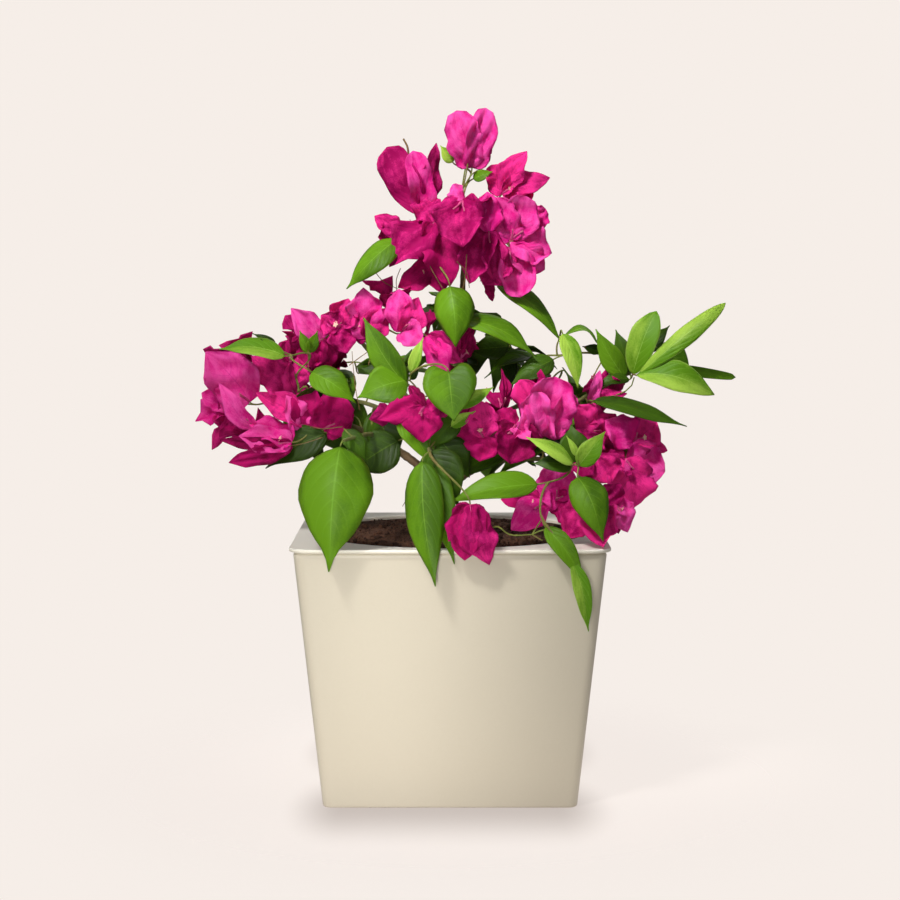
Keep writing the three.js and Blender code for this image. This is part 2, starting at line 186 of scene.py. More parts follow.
def newGroup(name, inputs, outputs):
    group = bpy.data.node_groups.new(name, "ShaderNodeTree")
    for label, value in inputs.items():
        socket = group.interface.new_socket(name=label, in_out="INPUT", socket_type="NodeSocketFloat")
        socket.default_value = value
    for label in outputs:
        group.interface.new_socket(name=label, in_out="OUTPUT", socket_type="NodeSocketFloat")
    bench["tree"] = group
    return group, addNode("NodeGroupInput").outputs, addNode("NodeGroupOutput")


def placeGroup(group, **values):
    node = bench["tree"].nodes.new("ShaderNodeGroup")
    node.node_tree = group
    setInputs(node, values)
    return node.outputs


# Blade pattern on the "bladeUv" map: a midrib that thins to the tip, side veins that slant forward from
# it, the quilting between them, and the rim of the blade.
def buildVeinGroup():
    inputs = {"Count": 7.0, "Slant": 0.5, "Midrib": 0.06}
    group, given, out = newGroup("bladeVeins", inputs, ["Midrib", "Veins", "Quilt", "Rim"])
    across, along, _ = bladePlace()
    aside = calc("ABSOLUTE", timesPlus(across, 2.0, -1.0))
    ribWidth = times(given["Midrib"], minus(1.25, along))
    forward = times(calc("POWER", aside, 1.4), given["Slant"])
    turn = calc("FRACT", times(minus(along, forward), given["Count"]))
    near = calc("ABSOLUTE", timesPlus(turn, 2.0, -1.0))
    weaker = times(minus(1.15, aside, clamp=True), minus(1.0, fade(along, 0.7, 0.92)))
    setInputs(out, {
        "Midrib": minus(1.0, fade(aside, 0.0, ribWidth), clamp=True),
        "Veins": times(fade(near, 0.78, 1.0), weaker),
        "Quilt": times(minus(1.0, calc("POWER", near, 2.2)), minus(1.0, fade(along, 0.45, 0.8))),
        "Rim": fade(aside, 0.88, 1.0),
    })
    return group


# Two sizes of soft noise on Object coordinates: large clouds and fine grain.
def buildMottleGroup():
    group, given, out = newGroup("mottle", {"Cloud": 30.0, "Grain": 400.0, "Share": 0.3}, ["Tone", "Fine"])
    place = objectPlace()
    cloud = noise(place, given["Cloud"])
    grain = noise(place, given["Grain"], 2.0)
    mixed = timesPlus(grain, given["Share"], times(cloud, minus(1.0, given["Share"])))
    setInputs(out, {"Tone": fade(mixed, 0.3, 0.7), "Fine": grain})
    return group


# Soft streaks that run along the blade: noise on the "bladeUv" map, drawn out lengthways.
def buildStreakGroup():
    group, given, out = newGroup("bladeStreaks", {"Across": 9.0, "Seed": 0.0}, ["Streak"])
    across, along, _ = bladePlace()
    spot = {0: times(across, given["Across"]), 1: times(along, 1.8), 2: times(given["Seed"], 60.0)}
    place = addNode("ShaderNodeCombineXYZ", spot).outputs[0]
    setInputs(out, {"Streak": fade(noise(place, 1.0, 2.0), 0.32, 0.68)})
    return group


veinGroup = buildVeinGroup()
mottleGroup = buildMottleGroup()
streakGroup = buildStreakGroup()


# Leaf or bract: low to high colour by the tone mark (the blade's own tone plus painted shade and light
# from creases, base and halves), then veins, rim and the paler underside. A share of the light comes through.
def bladeMaterial(name, look):
    material, surface = newMaterial(name)
    veins = placeGroup(veinGroup, Count=look["veinCount"], Slant=look["veinSlant"], Midrib=look["ribWidth"])
    mottle = placeGroup(mottleGroup, Cloud=look["cloud"], Grain=look["grain"], Share=0.35)
    streaks = placeGroup(streakGroup, Across=look["streaks"], Seed=mark("seed"))
    blotches = timesPlus(mottle["Tone"], look["blotch"], -0.5 * look["blotch"])
    streaked = timesPlus(streaks["Streak"], look["streakShow"], -0.5 * look["streakShow"])
    tone = calc("ADD", mark("tone"), calc("ADD", blotches, streaked), clamp=True)
    color = blendColor(tone, look["low"], look["high"])
    for pattern, show, tint in ((veins["Veins"], "veinShow", "vein"), (veins["Midrib"], "ribShow", "vein"),
                                (veins["Rim"], "rimShow", "rim"), (mark("under"), "underShow", "under")):
        color = blendColor(times(pattern, look[show]), color, look[tint])
    height = timesPlus(veins["Quilt"], look["quilt"], times(mottle["Fine"], look["crepe"]))
    rough = timesPlus(mottle["Fine"], 0.2, look["rough"] - 0.1)
    normal = setLook(surface, color, rough, look["shine"], (height, look["bump"], 0.0008))
    glow = addNode("ShaderNodeBsdfTranslucent", {"Color": color, "Normal": normal})
    mixShader(look["through"], surface, glow, "Material Output")
    return material


# Camera, lights and floor. Here lengths are metres, but the lens, its sensor and the floor's radius
# and depth are millimetres.

cameraLook = {"place": (0.0, -1.5685, 0.3827), "pitch": 85.05, "lens": 85.0, "sensor": 36.0}
worldLook = {"paper": (0.921, 0.855, 0.807, 1.0), "light": (1.0, 0.985, 0.965, 1.0), "strength": 0.305}
# place, target, size, power, colour, how wide it spreads in degrees, and a height where it isn't round
lightPlan = {
    "keyLight": ((-0.7, -1.3, 1.25), (0, 0, 0.33), 0.9, 0.36, (1.0, 0.985, 0.96), 60, 0),
    "plantLight": ((-0.45, -0.85, 1.35), (0.02, -0.02, 0.38), 0.3, 0.62, (1.0, 0.985, 0.96), 25, 0),
    "planterLight": ((-0.085, -1.15, 0.16), (-0.06, -0.1, 0.11), 0.08, 0.158, (1.0, 0.985, 0.96), 20, 0.35),
    "rimLight": ((0.3, 1.1, 1.2), (0, 0, 0.35), 0.7, 0.12, (1.0, 0.99, 0.97), 40, 0),
}
# the floor's painted contact shadow: the shade colour darkens it most where |x| is "beside" and |y| is
# "before", and the painted shadow is gone as many falls farther out as its end gives
floorLook = {
    "radius": 1100.0, "depth": -0.1, "sides": 96,
    "color": (0.20, 0.186, 0.176), "glow": (0.829, 0.765, 0.726), "shade": (0.622, 0.602, 0.592, 1),
    "beside": 0.075, "besideFall": 0.0375, "before": 0.09, "beforeFall": 0.088,
    "paintedShadowEnd": 1.25, "paperStart": 0.16, "paperEnd": 0.36,
}


def addCamera():
    data = bpy.data.cameras.new("camera")
    data.lens = cameraLook["lens"]
    data.sensor_width = cameraLook["sensor"]
    camera = bpy.data.objects.new("camera", data)
    camera.location = cameraLook["place"]
    camera.rotation_euler = (math.radians(cameraLook["pitch"]), 0, 0)
    bpy.context.scene.collection.objects.link(camera)
    bpy.context.scene.camera = camera


def addLight(name, place, target, size, power, color, spread, tall):
    data = bpy.data.lights.new(name, "AREA")
    data.shape = "RECTANGLE" if tall else "DISK"
    data.size = size
    if tall:
        data.size_y = tall
    data.spread = math.radians(spread)
    data.energy = power
    data.color = color
    light = bpy.data.objects.new(name, data)
    light.location = place
    light.rotation_euler = (Vector(target) - Vector(place)).to_track_quat("-Z", "Y").to_euler()
    bpy.context.scene.collection.objects.link(light)


# The world lights the plant softly; the camera sees it as plain pale paper.
def addWorld():
    world = bpy.data.worlds.new("studio")
    world.use_nodes = True
    bench["tree"] = world.node_tree
    soft = world.node_tree.nodes["Background"]
    setInputs(soft, {"Color": worldLook["light"], "Strength": worldLook["strength"]})
    seen = addNode("ShaderNodeBackground", {"Color": worldLook["paper"], "Strength": 1.0})
    toCamera = addNode("ShaderNodeLightPath").outputs["Is Camera Ray"]
    mixShader(toCamera, soft, seen, "World Output")
    bpy.context.scene.world = world
    bpy.context.scene.view_settings.view_transform = "Standard"


# Pale floor disc with a soft painted contact shadow round the planter's foot; it fades into the paper farther
# out. Each distance from the foot is counted in falls, and the painted shadow follows the length of the two.
def addFloor():
    look = floorLook
    turn = roundAngles(look["sides"])
    rim = [look["radius"] * np.cos(turn), look["radius"] * np.sin(turn), turn * 0 + look["depth"]]
    floor = makePiece("floor", np.stack(rim, axis=1), [np.arange(look["sides"])[None, :]], [False])
    material, surface = newMaterial("floorPaper")
    place = objectPlace()
    x, y, _ = splitAxes(place)
    distance = addNode("ShaderNodeVectorMath", {0: place}, operation="LENGTH").outputs["Value"]
    outside = calc("MAXIMUM", minus(calc("ABSOLUTE", x), look["beside"]), 0.0)
    beside = calc("DIVIDE", outside, look["besideFall"])
    before = calc("DIVIDE", minus(calc("ABSOLUTE", y), look["before"]), look["beforeFall"])
    away = calc("SQRT", calc("ADD", times(beside, beside), times(before, before)))
    # painted contact shadow: the floor's colour and glow darken towards the planter's foot
    paintedShadow = blendColor(fade(away, 0.0, look["paintedShadowEnd"]), look["shade"], (1, 1, 1, 1))
    tints = [addNode("ShaderNodeVectorMath", {0: paintedShadow, 1: look[label]}, operation="MULTIPLY").outputs[0]
             for label in ("color", "glow")]
    setLook(surface, tints[0], 0.9, 0.0)
    setInputs(surface, {"Emission Color": tints[1], "Emission Strength": 1.0})
    clear = addNode("ShaderNodeBsdfTransparent")
    mixShader(fade(distance, look["paperStart"], look["paperEnd"]), surface, clear, "Material Output")
    floor.data.materials.append(material)


addCamera()
addWorld()
addFloor()
for name, plan in lightPlan.items():
    addLight(name, *plan)
print("camera, lights and floor")


# Planter and soil

planter = {
    "bodyHeight": 184.2, "baseHalf": 90.4, "shoulderHalf": 109.2, "cornerRadius": 7.0,
    "wall": 5.0, "floor": 7.0,
    "rimHalf": 112.5, "rimCornerRadius": 16.0, "rimThickness": 2.8, "opening": 101.5, "footBevel": 1.6,
    "color": (0.62, 0.563, 0.447, 1.0), "shadeColor": (0.575, 0.520, 0.403, 1.0),
    "footTint": (0.525, 0.498, 0.422, 1.0), "rimPaintedLight": (0.78, 0.73, 0.61, 1.0),
    "topPaintedLight": (0.93, 0.89, 0.80, 1.0),
    "footTintHeight": 0.035, "rimPaintedLightFade": (0.1835, 0.1848), "topPaintedLightFade": (0.1860, 0.1868),  # metres
}


# Distance from the axis to a rounded square at each angle: straight side h / max(|cos|, |sin|), or round
# the corner circle c(|cos|+|sin|) + sqrt(r^2 - c^2(|cos|-|sin|)^2), where c = h - r.
def roundedSquare(angle, half, radius):
    a, b = np.abs(np.cos(angle)), np.abs(np.sin(angle))
    straight = half / np.maximum(a, b)
    middle = half - radius
    arc = middle * (a + b) + np.sqrt(np.maximum(radius ** 2 - (middle * (a - b)) ** 2, 0))
    return np.where(np.minimum(a, b) * straight > middle, arc, straight)


# Four-sided faces between each ring of points and the next; the turned order faces the other way.
def ringFaces(rings, count, turned):
    low = np.arange(count)
    high = np.roll(low, -1)
    corners = [low, low + count, high + count, high] if turned else [low, high, high + count, low + count]
    return (np.stack(corners, axis=-1) + (np.arange(rings - 1) * count)[:, None, None]).reshape(-1, 4)


# Rings of one section after another, closed at both ends by a flat face. Each level is
# [height, half width, corner radius]; a corner radius equal to the half width is a circle.
def ringShell(levels, angle):
    rings = []
    for height, half, radius in levels:
        reach = roundedSquare(angle, half, min(radius, half))
        rings.append(np.stack([reach * np.cos(angle), reach * np.sin(angle), angle * 0 + height], axis=1))
    count = len(angle)
    foot = np.arange(count)[::-1][None, :]
    top = np.arange(count)[None, :] + (len(levels) - 1) * count
    return np.concatenate(rings), [ringFaces(len(levels), count, False), foot, top]


# Levels round a bevel whose centre is size inside the edge; angles from start to stop in degrees.
def quarterBevel(height, half, radius, size, start, stop, steps=4):
    turn = np.radians(np.linspace(start, stop, steps))
    return [[height + size * math.sin(a), half - size + size * math.cos(a),
             radius - size + size * math.cos(a)] for a in turn]


def squareAngles():  # close together at the corners
    side = np.concatenate([np.linspace(-40, 40, 25), np.linspace(40, 50, 15)[1:-1]])
    return np.radians(np.concatenate([side + 90 * k for k in range(4)]))


# The shell from under the foot, up the walls, round the rim and down inside to the floor.
def buildPlanter():
    high, baseHalf, shoulder = planter["bodyHeight"], planter["baseHalf"], planter["shoulderHalf"]
    corner, bevel, wall = planter["cornerRadius"], planter["footBevel"], planter["wall"]
    rimHalf, rimCorner, inner = planter["rimHalf"], planter["rimCornerRadius"], planter["opening"]
    floor = planter["floor"]
    slope = (shoulder - baseHalf) / high
    rimLow = high + 0.3
    rimHigh = rimLow + planter["rimThickness"]
    levels = quarterBevel(bevel, baseHalf + slope * bevel, corner, bevel, -90, 0)
    heights = np.concatenate([[bevel + 1.5], np.linspace(9, high - 4, 11), [high - 1.6]])
    levels += [[z, baseHalf + slope * z, corner] for z in heights]
    levels += [
        [rimLow - 1.2, shoulder - 0.4, corner], [rimLow - 0.5, shoulder - 0.9, corner],
        [rimLow - 0.1, shoulder - 0.8, corner + 1], [rimLow, shoulder + 0.6, rimCorner - 3],
        [rimLow + 0.1, rimHalf - 0.9, rimCorner - 0.9],
    ]
    levels += quarterBevel(rimLow + 1.0, rimHalf, rimCorner, 0.9, -70, 0, 4)
    levels += quarterBevel(rimHigh - 1.0, rimHalf, rimCorner, 1.0, 15, 90, 5)
    levels += [[rimHigh, (rimHalf + inner) / 2, (rimCorner + inner) / 2]]
    levels += [[rimHigh - drop, inner + out, inner + out]
               for drop, out in ((0.05, 1.6), (0.35, 0.6), (1.0, 0.1), (6.0, 0))]
    levels += [
        [rimHigh - 10.0, shoulder - wall - 1.2, corner], [floor + 2.0, baseHalf - wall, corner / 2],
        [floor, baseHalf - wall - 2.0, corner / 2],
    ]
    points, faceSets = ringShell(levels, squareAngles())
    piece = makePiece("planterShell", points, faceSets, [True, False, False])
    piece.data.set_sharp_from_angle(angle=math.radians(40))
    return piece


# Satin cream finish: faint clouds and fine grain, a greyer, darker tint at the foot, and painted light on the
# rim and its top face, which are painted paler.
def planterMaterial():
    material, surface = newMaterial("creamGlaze")
    mottle = placeGroup(mottleGroup, Cloud=9.0, Grain=520.0, Share=0.3)
    height = splitAxes(objectPlace())[2]
    # a greyer, darker tint towards the foot
    foot = minus(1.0, fade(height, 0.0, planter["footTintHeight"]), clamp=True)
    color = blendColor(times(mottle["Tone"], 0.35), planter["color"], planter["shadeColor"])
    color = blendColor(times(foot, 0.15), color, planter["footTint"])
    # painted light: the rim and then its top face are painted paler, as if lit from above
    color = blendColor(fade(height, *planter["rimPaintedLightFade"]), color, planter["rimPaintedLight"])
    color = blendColor(fade(height, *planter["topPaintedLightFade"]), color, planter["topPaintedLight"])
    setLook(surface, color, timesPlus(mottle["Tone"], 0.08, 0.36), 0.35, (mottle["Fine"], 0.06, 0.0005))
    return material


soil = {
    "edge": 185.3, "crown": 187.3, "radius": 100.0, "overlap": 1.2, "rings": 60, "lumpHeight": 0.75,
    "floorHeight": 7.3, "floorHalf": 85.6, "shoulderHalf": 103.2, "corner": 3.5,
    "crumbs": 900, "crumbSize": (0.7, 2.6),
    "dark": (0.030, 0.014, 0.009, 1.0), "light": (0.13, 0.058, 0.032, 1.0),
}


# Height of the soil at a distance from the axis: the crown falls to the edge, with lumps from crossed waves.
def soilHeight(x, y):
    share = np.hypot(x, y) / soil["radius"]
    lumps = (np.sin(x * 0.31 + 1.3 * np.sin(y * 0.17)) * np.cos(y * 0.27 + np.sin(x * 0.23))
             + 0.6 * np.sin(x * 0.83 + y * 0.61) * np.cos(y * 0.97 - x * 0.41)
             + 0.4 * np.sin(x * 1.9 - y * 1.3) * np.sin(y * 2.1 + x * 0.7))
    crown = soil["edge"] + (soil["crown"] - soil["edge"]) * np.clip(1.15 - share, 0, 1)
    return crown - 1.0 + soil["lumpHeight"] * lumps * np.clip((1 - share) * 12, 0.15, 1)


# A plug that fills the tub; the rings of its top shrink to the axis and take the soil's height.
def buildSoil():
    levels = [[soil["floorHeight"], soil["floorHalf"], soil["corner"]],
              [planter["bodyHeight"] - 4, soil["shoulderHalf"], soil["corner"]]]
    for share in np.linspace(1, 0, soil["rings"]) ** 0.8:
        reach = soil["radius"] * share + soil["overlap"]
        levels.append([soil["edge"], reach, reach])
    points, faceSets = ringShell(levels, squareAngles())
    top = points[:, 2] == soil["edge"]
    points[top, 2] = soilHeight(points[top, 0], points[top, 1])
    return makePiece("soilBed", points, faceSets, [True, False, True])


# One lump: a ball on an icosahedron's twelve corners, roughened and flattened, strewn at random over the
# soil.
def buildCrumbs():
    golden = (1 + 5 ** 0.5) / 2
    corners = unit(np.array([[s, t * golden, 0] for s in (1, -1) for t in (1, -1)]))
    ball = np.concatenate([np.roll(corners, k, axis=1) for k in range(3)])
    near = np.linalg.norm(ball[:, None] - ball[None], axis=-1) < 1.1
    faces = np.array([[i, j, k] for i in range(12) for j in range(i + 1, 12) for k in range(j + 1, 12)
                      if near[i, j] and near[j, k] and near[i, k]])
    normal = np.cross(ball[faces[:, 1]] - ball[faces[:, 0]], ball[faces[:, 2]] - ball[faces[:, 0]])
    wrong = np.sum(normal * ball[faces[:, 0]], axis=1) < 0
    faces[wrong] = faces[wrong][:, ::-1]
    n = soil["crumbs"]
    small, large = soil["crumbSize"]
    angle = rng.uniform(0, 2 * np.pi, n)
    reach = (soil["radius"] - 3) * rng.uniform(0, 1, n) ** 0.5
    x, y = reach * np.cos(angle), reach * np.sin(angle)
    size = rng.uniform(0, 1, n) ** 3 * (large - small) + small
    shape = ball[None] * (1 + rng.uniform(-0.25, 0.25, (n, 12, 1))) * rng.uniform(0.6, 1.2, (n, 1, 3))
    place = np.stack([x, y, soilHeight(x, y) + size * 0.25], axis=1)
    points = place[:, None] + shape * size[:, None, None]
    allFaces = (faces[None] + 12 * np.arange(n)[:, None, None]).reshape(-1, 3)
    marks = {"tone": np.repeat(rng.uniform(0, 1, n), 12)}
    return makePiece("soilCrumbs", points.reshape(-1, 3), [allFaces], [True], marks=marks)


# Dark damp soil: clouds and grain between two browns; each lump has a tone of its own.
def soilMaterial(name, useTone):
    material, surface = newMaterial(name)
    mottle = placeGroup(mottleGroup, Cloud=75.0, Grain=700.0, Share=0.5)
    amount = times(mottle["Tone"], mark("tone")) if useTone else mottle["Tone"]
    color = blendColor(amount, soil["dark"], soil["light"])
    setLook(surface, color, 0.93, 0.2, (mottle["Fine"], 0.7, 0.0012))
    return material


finishPiece(buildPlanter(), planterMaterial(), ["planter_body", "planter_rim"])
finishPiece(buildSoil(), soilMaterial("dampSoil", False), ["soil"])
finishPiece(buildCrumbs(), soilMaterial("soilLumps", True), ["soil"])


# Trunk, boughs and twigs

limbPlan = {
    "foot": (-4, 8, 187.8), "lean": (-3, 6, 38), "bend": (1.5, -1, 0), "baseRadius": 6.4, "topRadius": 4.6,
    "flare": 0.75, "narrowing": 0.42, "sides": 18, "rows": 90, "root": (-0.5, 0, 4),
    "ridges": 0.045, "fineRidges": 0.03, "nodeStep": 17.0, "nodeSwell": 0.13, "nodeWidth": 1.7, "warts": 0.05,
}
maxPhase = 6.28  # about one turn
# each bough: parent limb, how far along it, tip, radius at its foot, lift of its middle, zigzag
boughPlan = {
    "bough_top": ("trunk", 1.0, (10, 0, 384), 4.2, 0, -7),
    "bough_left": ("trunk", 0.86, (-122, -10, 276), 3.4, 12, -5),
    "bough_right": ("trunk", 0.8, (108, -24, 262), 3.4, 8, 5),
    "bough_back": ("trunk", 0.9, (8, 98, 262), 3.2, 9, -5),
    "bough_front": ("trunk", 0.62, (-14, -96, 254), 2.7, 14, 5),
    "bough_shoulder": ("bough_top", 0.16, (-72, -8, 336), 2.9, 2, 5),
    "bough_left_front": ("bough_left", 0.3, (-74, -98, 262), 2.4, 8, -5),
    "bough_right_front": ("bough_right", 0.24, (84, -86, 244), 2.5, 5, -5),
    "bough_right_shoot": ("bough_right", 0.5, (134, -14, 306), 2.4, 5, 6),
    "bough_back_left": ("bough_back", 0.3, (-92, 58, 284), 2.7, 8, 6),
    "bough_back_right": ("bough_back", 0.42, (88, 60, 284), 2.7, 8, -6),
}


# Spline through the points (each stretch a cubic that leaves a point along its neighbours' chord),
# resampled to equal steps of length.
def smoothPath(points, count):
    points = np.array(points, float)
    ends = np.vstack([2 * points[0] - points[1], points, 2 * points[-1] - points[-2]])
    t = np.linspace(0, len(points) - 1, 240)
    i = np.minimum(t.astype(int), len(points) - 2)
    f = (t - i)[:, None]
    a, b, c, d = ends[i], ends[i + 1], ends[i + 2], ends[i + 3]
    dense = 0.5 * (2 * b + (c - a) * f + (2 * a - 5 * b + 4 * c - d) * f ** 2
                   + (3 * b - a - 3 * c + d) * f ** 3)
    length = np.concatenate([[0], np.cumsum(np.linalg.norm(np.diff(dense, axis=0), axis=1))])
    even = np.linspace(0, length[-1], count)
    return np.stack([np.interp(even, length, dense[:, k]) for k in range(3)], axis=1)


# Tubes along n paths of m points: a ring of the given radius round each point, square to the path, and a
# flat face at each end. The relief multiplies the radius at every corner.
def tubes(paths, radii, sides, relief=1.0):
    n, m, _ = paths.shape
    along = unit(np.gradient(paths, axis=1))
    choices = unit(np.array([[1, 0, 0], [0, 1, 0], [0, 0, 1], [1, 1, 0], [1, -1, 0], [0, 1, 1], [1, 0, 1.0]]))
    clear = np.linalg.norm(np.cross(along[:, :, None], choices), axis=-1).min(axis=1)
    across = unit(np.cross(along, choices[clear.argmax(axis=1)][:, None]))
    other = np.cross(across, along)
    turn = roundAngles(sides)[None, None, :, None]
    ring = across[:, :, None] * np.cos(turn) + other[:, :, None] * np.sin(turn)
    points = paths[:, :, None] + ring * (radii[:, :, None, None] * relief)
    shift = np.arange(n)[:, None, None] * m * sides
    foot = np.arange(sides)[None, :]
    tip = foot[:, ::-1] + (m - 1) * sides
    parts = (ringFaces(m, sides, True), foot, tip)
    return points.reshape(-1, 3), [(part[None] + shift).reshape(-1, part.shape[1]) for part in parts]


# Middle lines. A bough leaves its parent part of the way along it and runs straight to its tip, plus a lift
# of 4t(1-t) in its middle and a zigzag to the sides.
def limbPaths():
    foot = np.array(limbPlan["foot"], float)
    fork = foot + limbPlan["lean"]
    paths = {"trunk": smoothPath([foot, (foot + fork) / 2 + limbPlan["bend"], fork], limbPlan["rows"])}
    for name, (parent, share, tip, radius, lift, zigzag) in boughPlan.items():
        start = paths[parent][int(round(share * (limbPlan["rows"] - 1)))]
        run = np.array(tip, float) - start
        aside = unit(np.array([-run[1], run[0], 0.0])) * zigzag
        spots = [start + run * t + [0, 0, lift * 4 * t * (1 - t)] + aside * side
                 for t, side in ((0, 0), (0.3, 1), (0.64, -0.7), (1, 0))]
        paths[name] = smoothPath(spots, limbPlan["rows"])
    return paths


# Bark relief: long ridges that wander round the limb, swollen rings at the leaf nodes, and small warts.
def barkRelief(paths, radii, sides):
    n, m, _ = paths.shape
    steps = np.linalg.norm(np.diff(paths, axis=1), axis=2)
    run = np.concatenate([np.zeros((n, 1)), np.cumsum(steps, axis=1)], axis=1)[:, :, None]
    turn = roundAngles(sides)
    phase = rng.uniform(0, maxPhase, (n, 1, 1))
    ridges = limbPlan["ridges"] * np.sin(5 * turn + phase + 1.4 * np.sin(run * 0.11 + phase))
    ridges = ridges + limbPlan["fineRidges"] * np.sin(9 * turn - 2 * phase + 1.1 * np.sin(run * 0.23))
    step = limbPlan["nodeStep"]
    fromNode = np.mod(run + 9, step) - step / 2
    nodes = limbPlan["nodeSwell"] * np.exp(-(fromNode / limbPlan["nodeWidth"]) ** 2)
    warts = limbPlan["warts"] * rng.normal(size=(n, m, sides))
    return (1 + ridges + nodes + warts * np.minimum(radii / 4, 1)[:, :, None])[:, :, :, None]


# A radius along each limb: the trunk tapers with a flare at its foot, a bough narrows to its tip.
def buildLimbs(paths):
    t = np.linspace(0, 1, limbPlan["rows"])
    trunk = limbPlan["baseRadius"] + (limbPlan["topRadius"] - limbPlan["baseRadius"]) * t
    radii = [trunk * (1 + limbPlan["flare"] * np.exp(-9 * t))]
    radii += [plan[3] * (1 - (1 - limbPlan["narrowing"]) * t) for plan in boughPlan.values()]
    allPaths, radii = np.stack(list(paths.values())), np.stack(radii)
    sides = limbPlan["sides"]
    points, faces = tubes(allPaths, radii, sides, barkRelief(allPaths, radii, sides))
    young = np.repeat(np.clip((3.0 - radii) / 1.8, 0, 1).ravel(), sides)
    return makePiece("limbs", points, faces, [True, False, False], marks={"young": young})


# Bark: grey-brown on old wood to green on young wood, with darker blotches and fine grain.
def barkMaterial(name, old, fresh, streak):
    material, surface = newMaterial(name)
    mottle = placeGroup(mottleGroup, Cloud=170.0, Grain=900.0, Share=0.4)
    color = blendColor(mark("young"), old, fresh)
    color = blendColor(times(mottle["Tone"], 0.55), color, streak)
    setLook(surface, color, 0.75, 0.3, (mottle["Fine"], 0.8, 0.0006))
    return material


paths = limbPaths()
below = paths["trunk"][0] - limbPlan["root"]
rooted = dict(paths, trunk=smoothPath(np.vstack([below, paths["trunk"][::12]]), limbPlan["rows"]))
bark = barkMaterial("bark", (0.20, 0.125, 0.065, 1), (0.16, 0.20, 0.05, 1), (0.085, 0.05, 0.028, 1))
finishPiece(buildLimbs(rooted), bark, list(paths))


# Blades: leaves and bracts

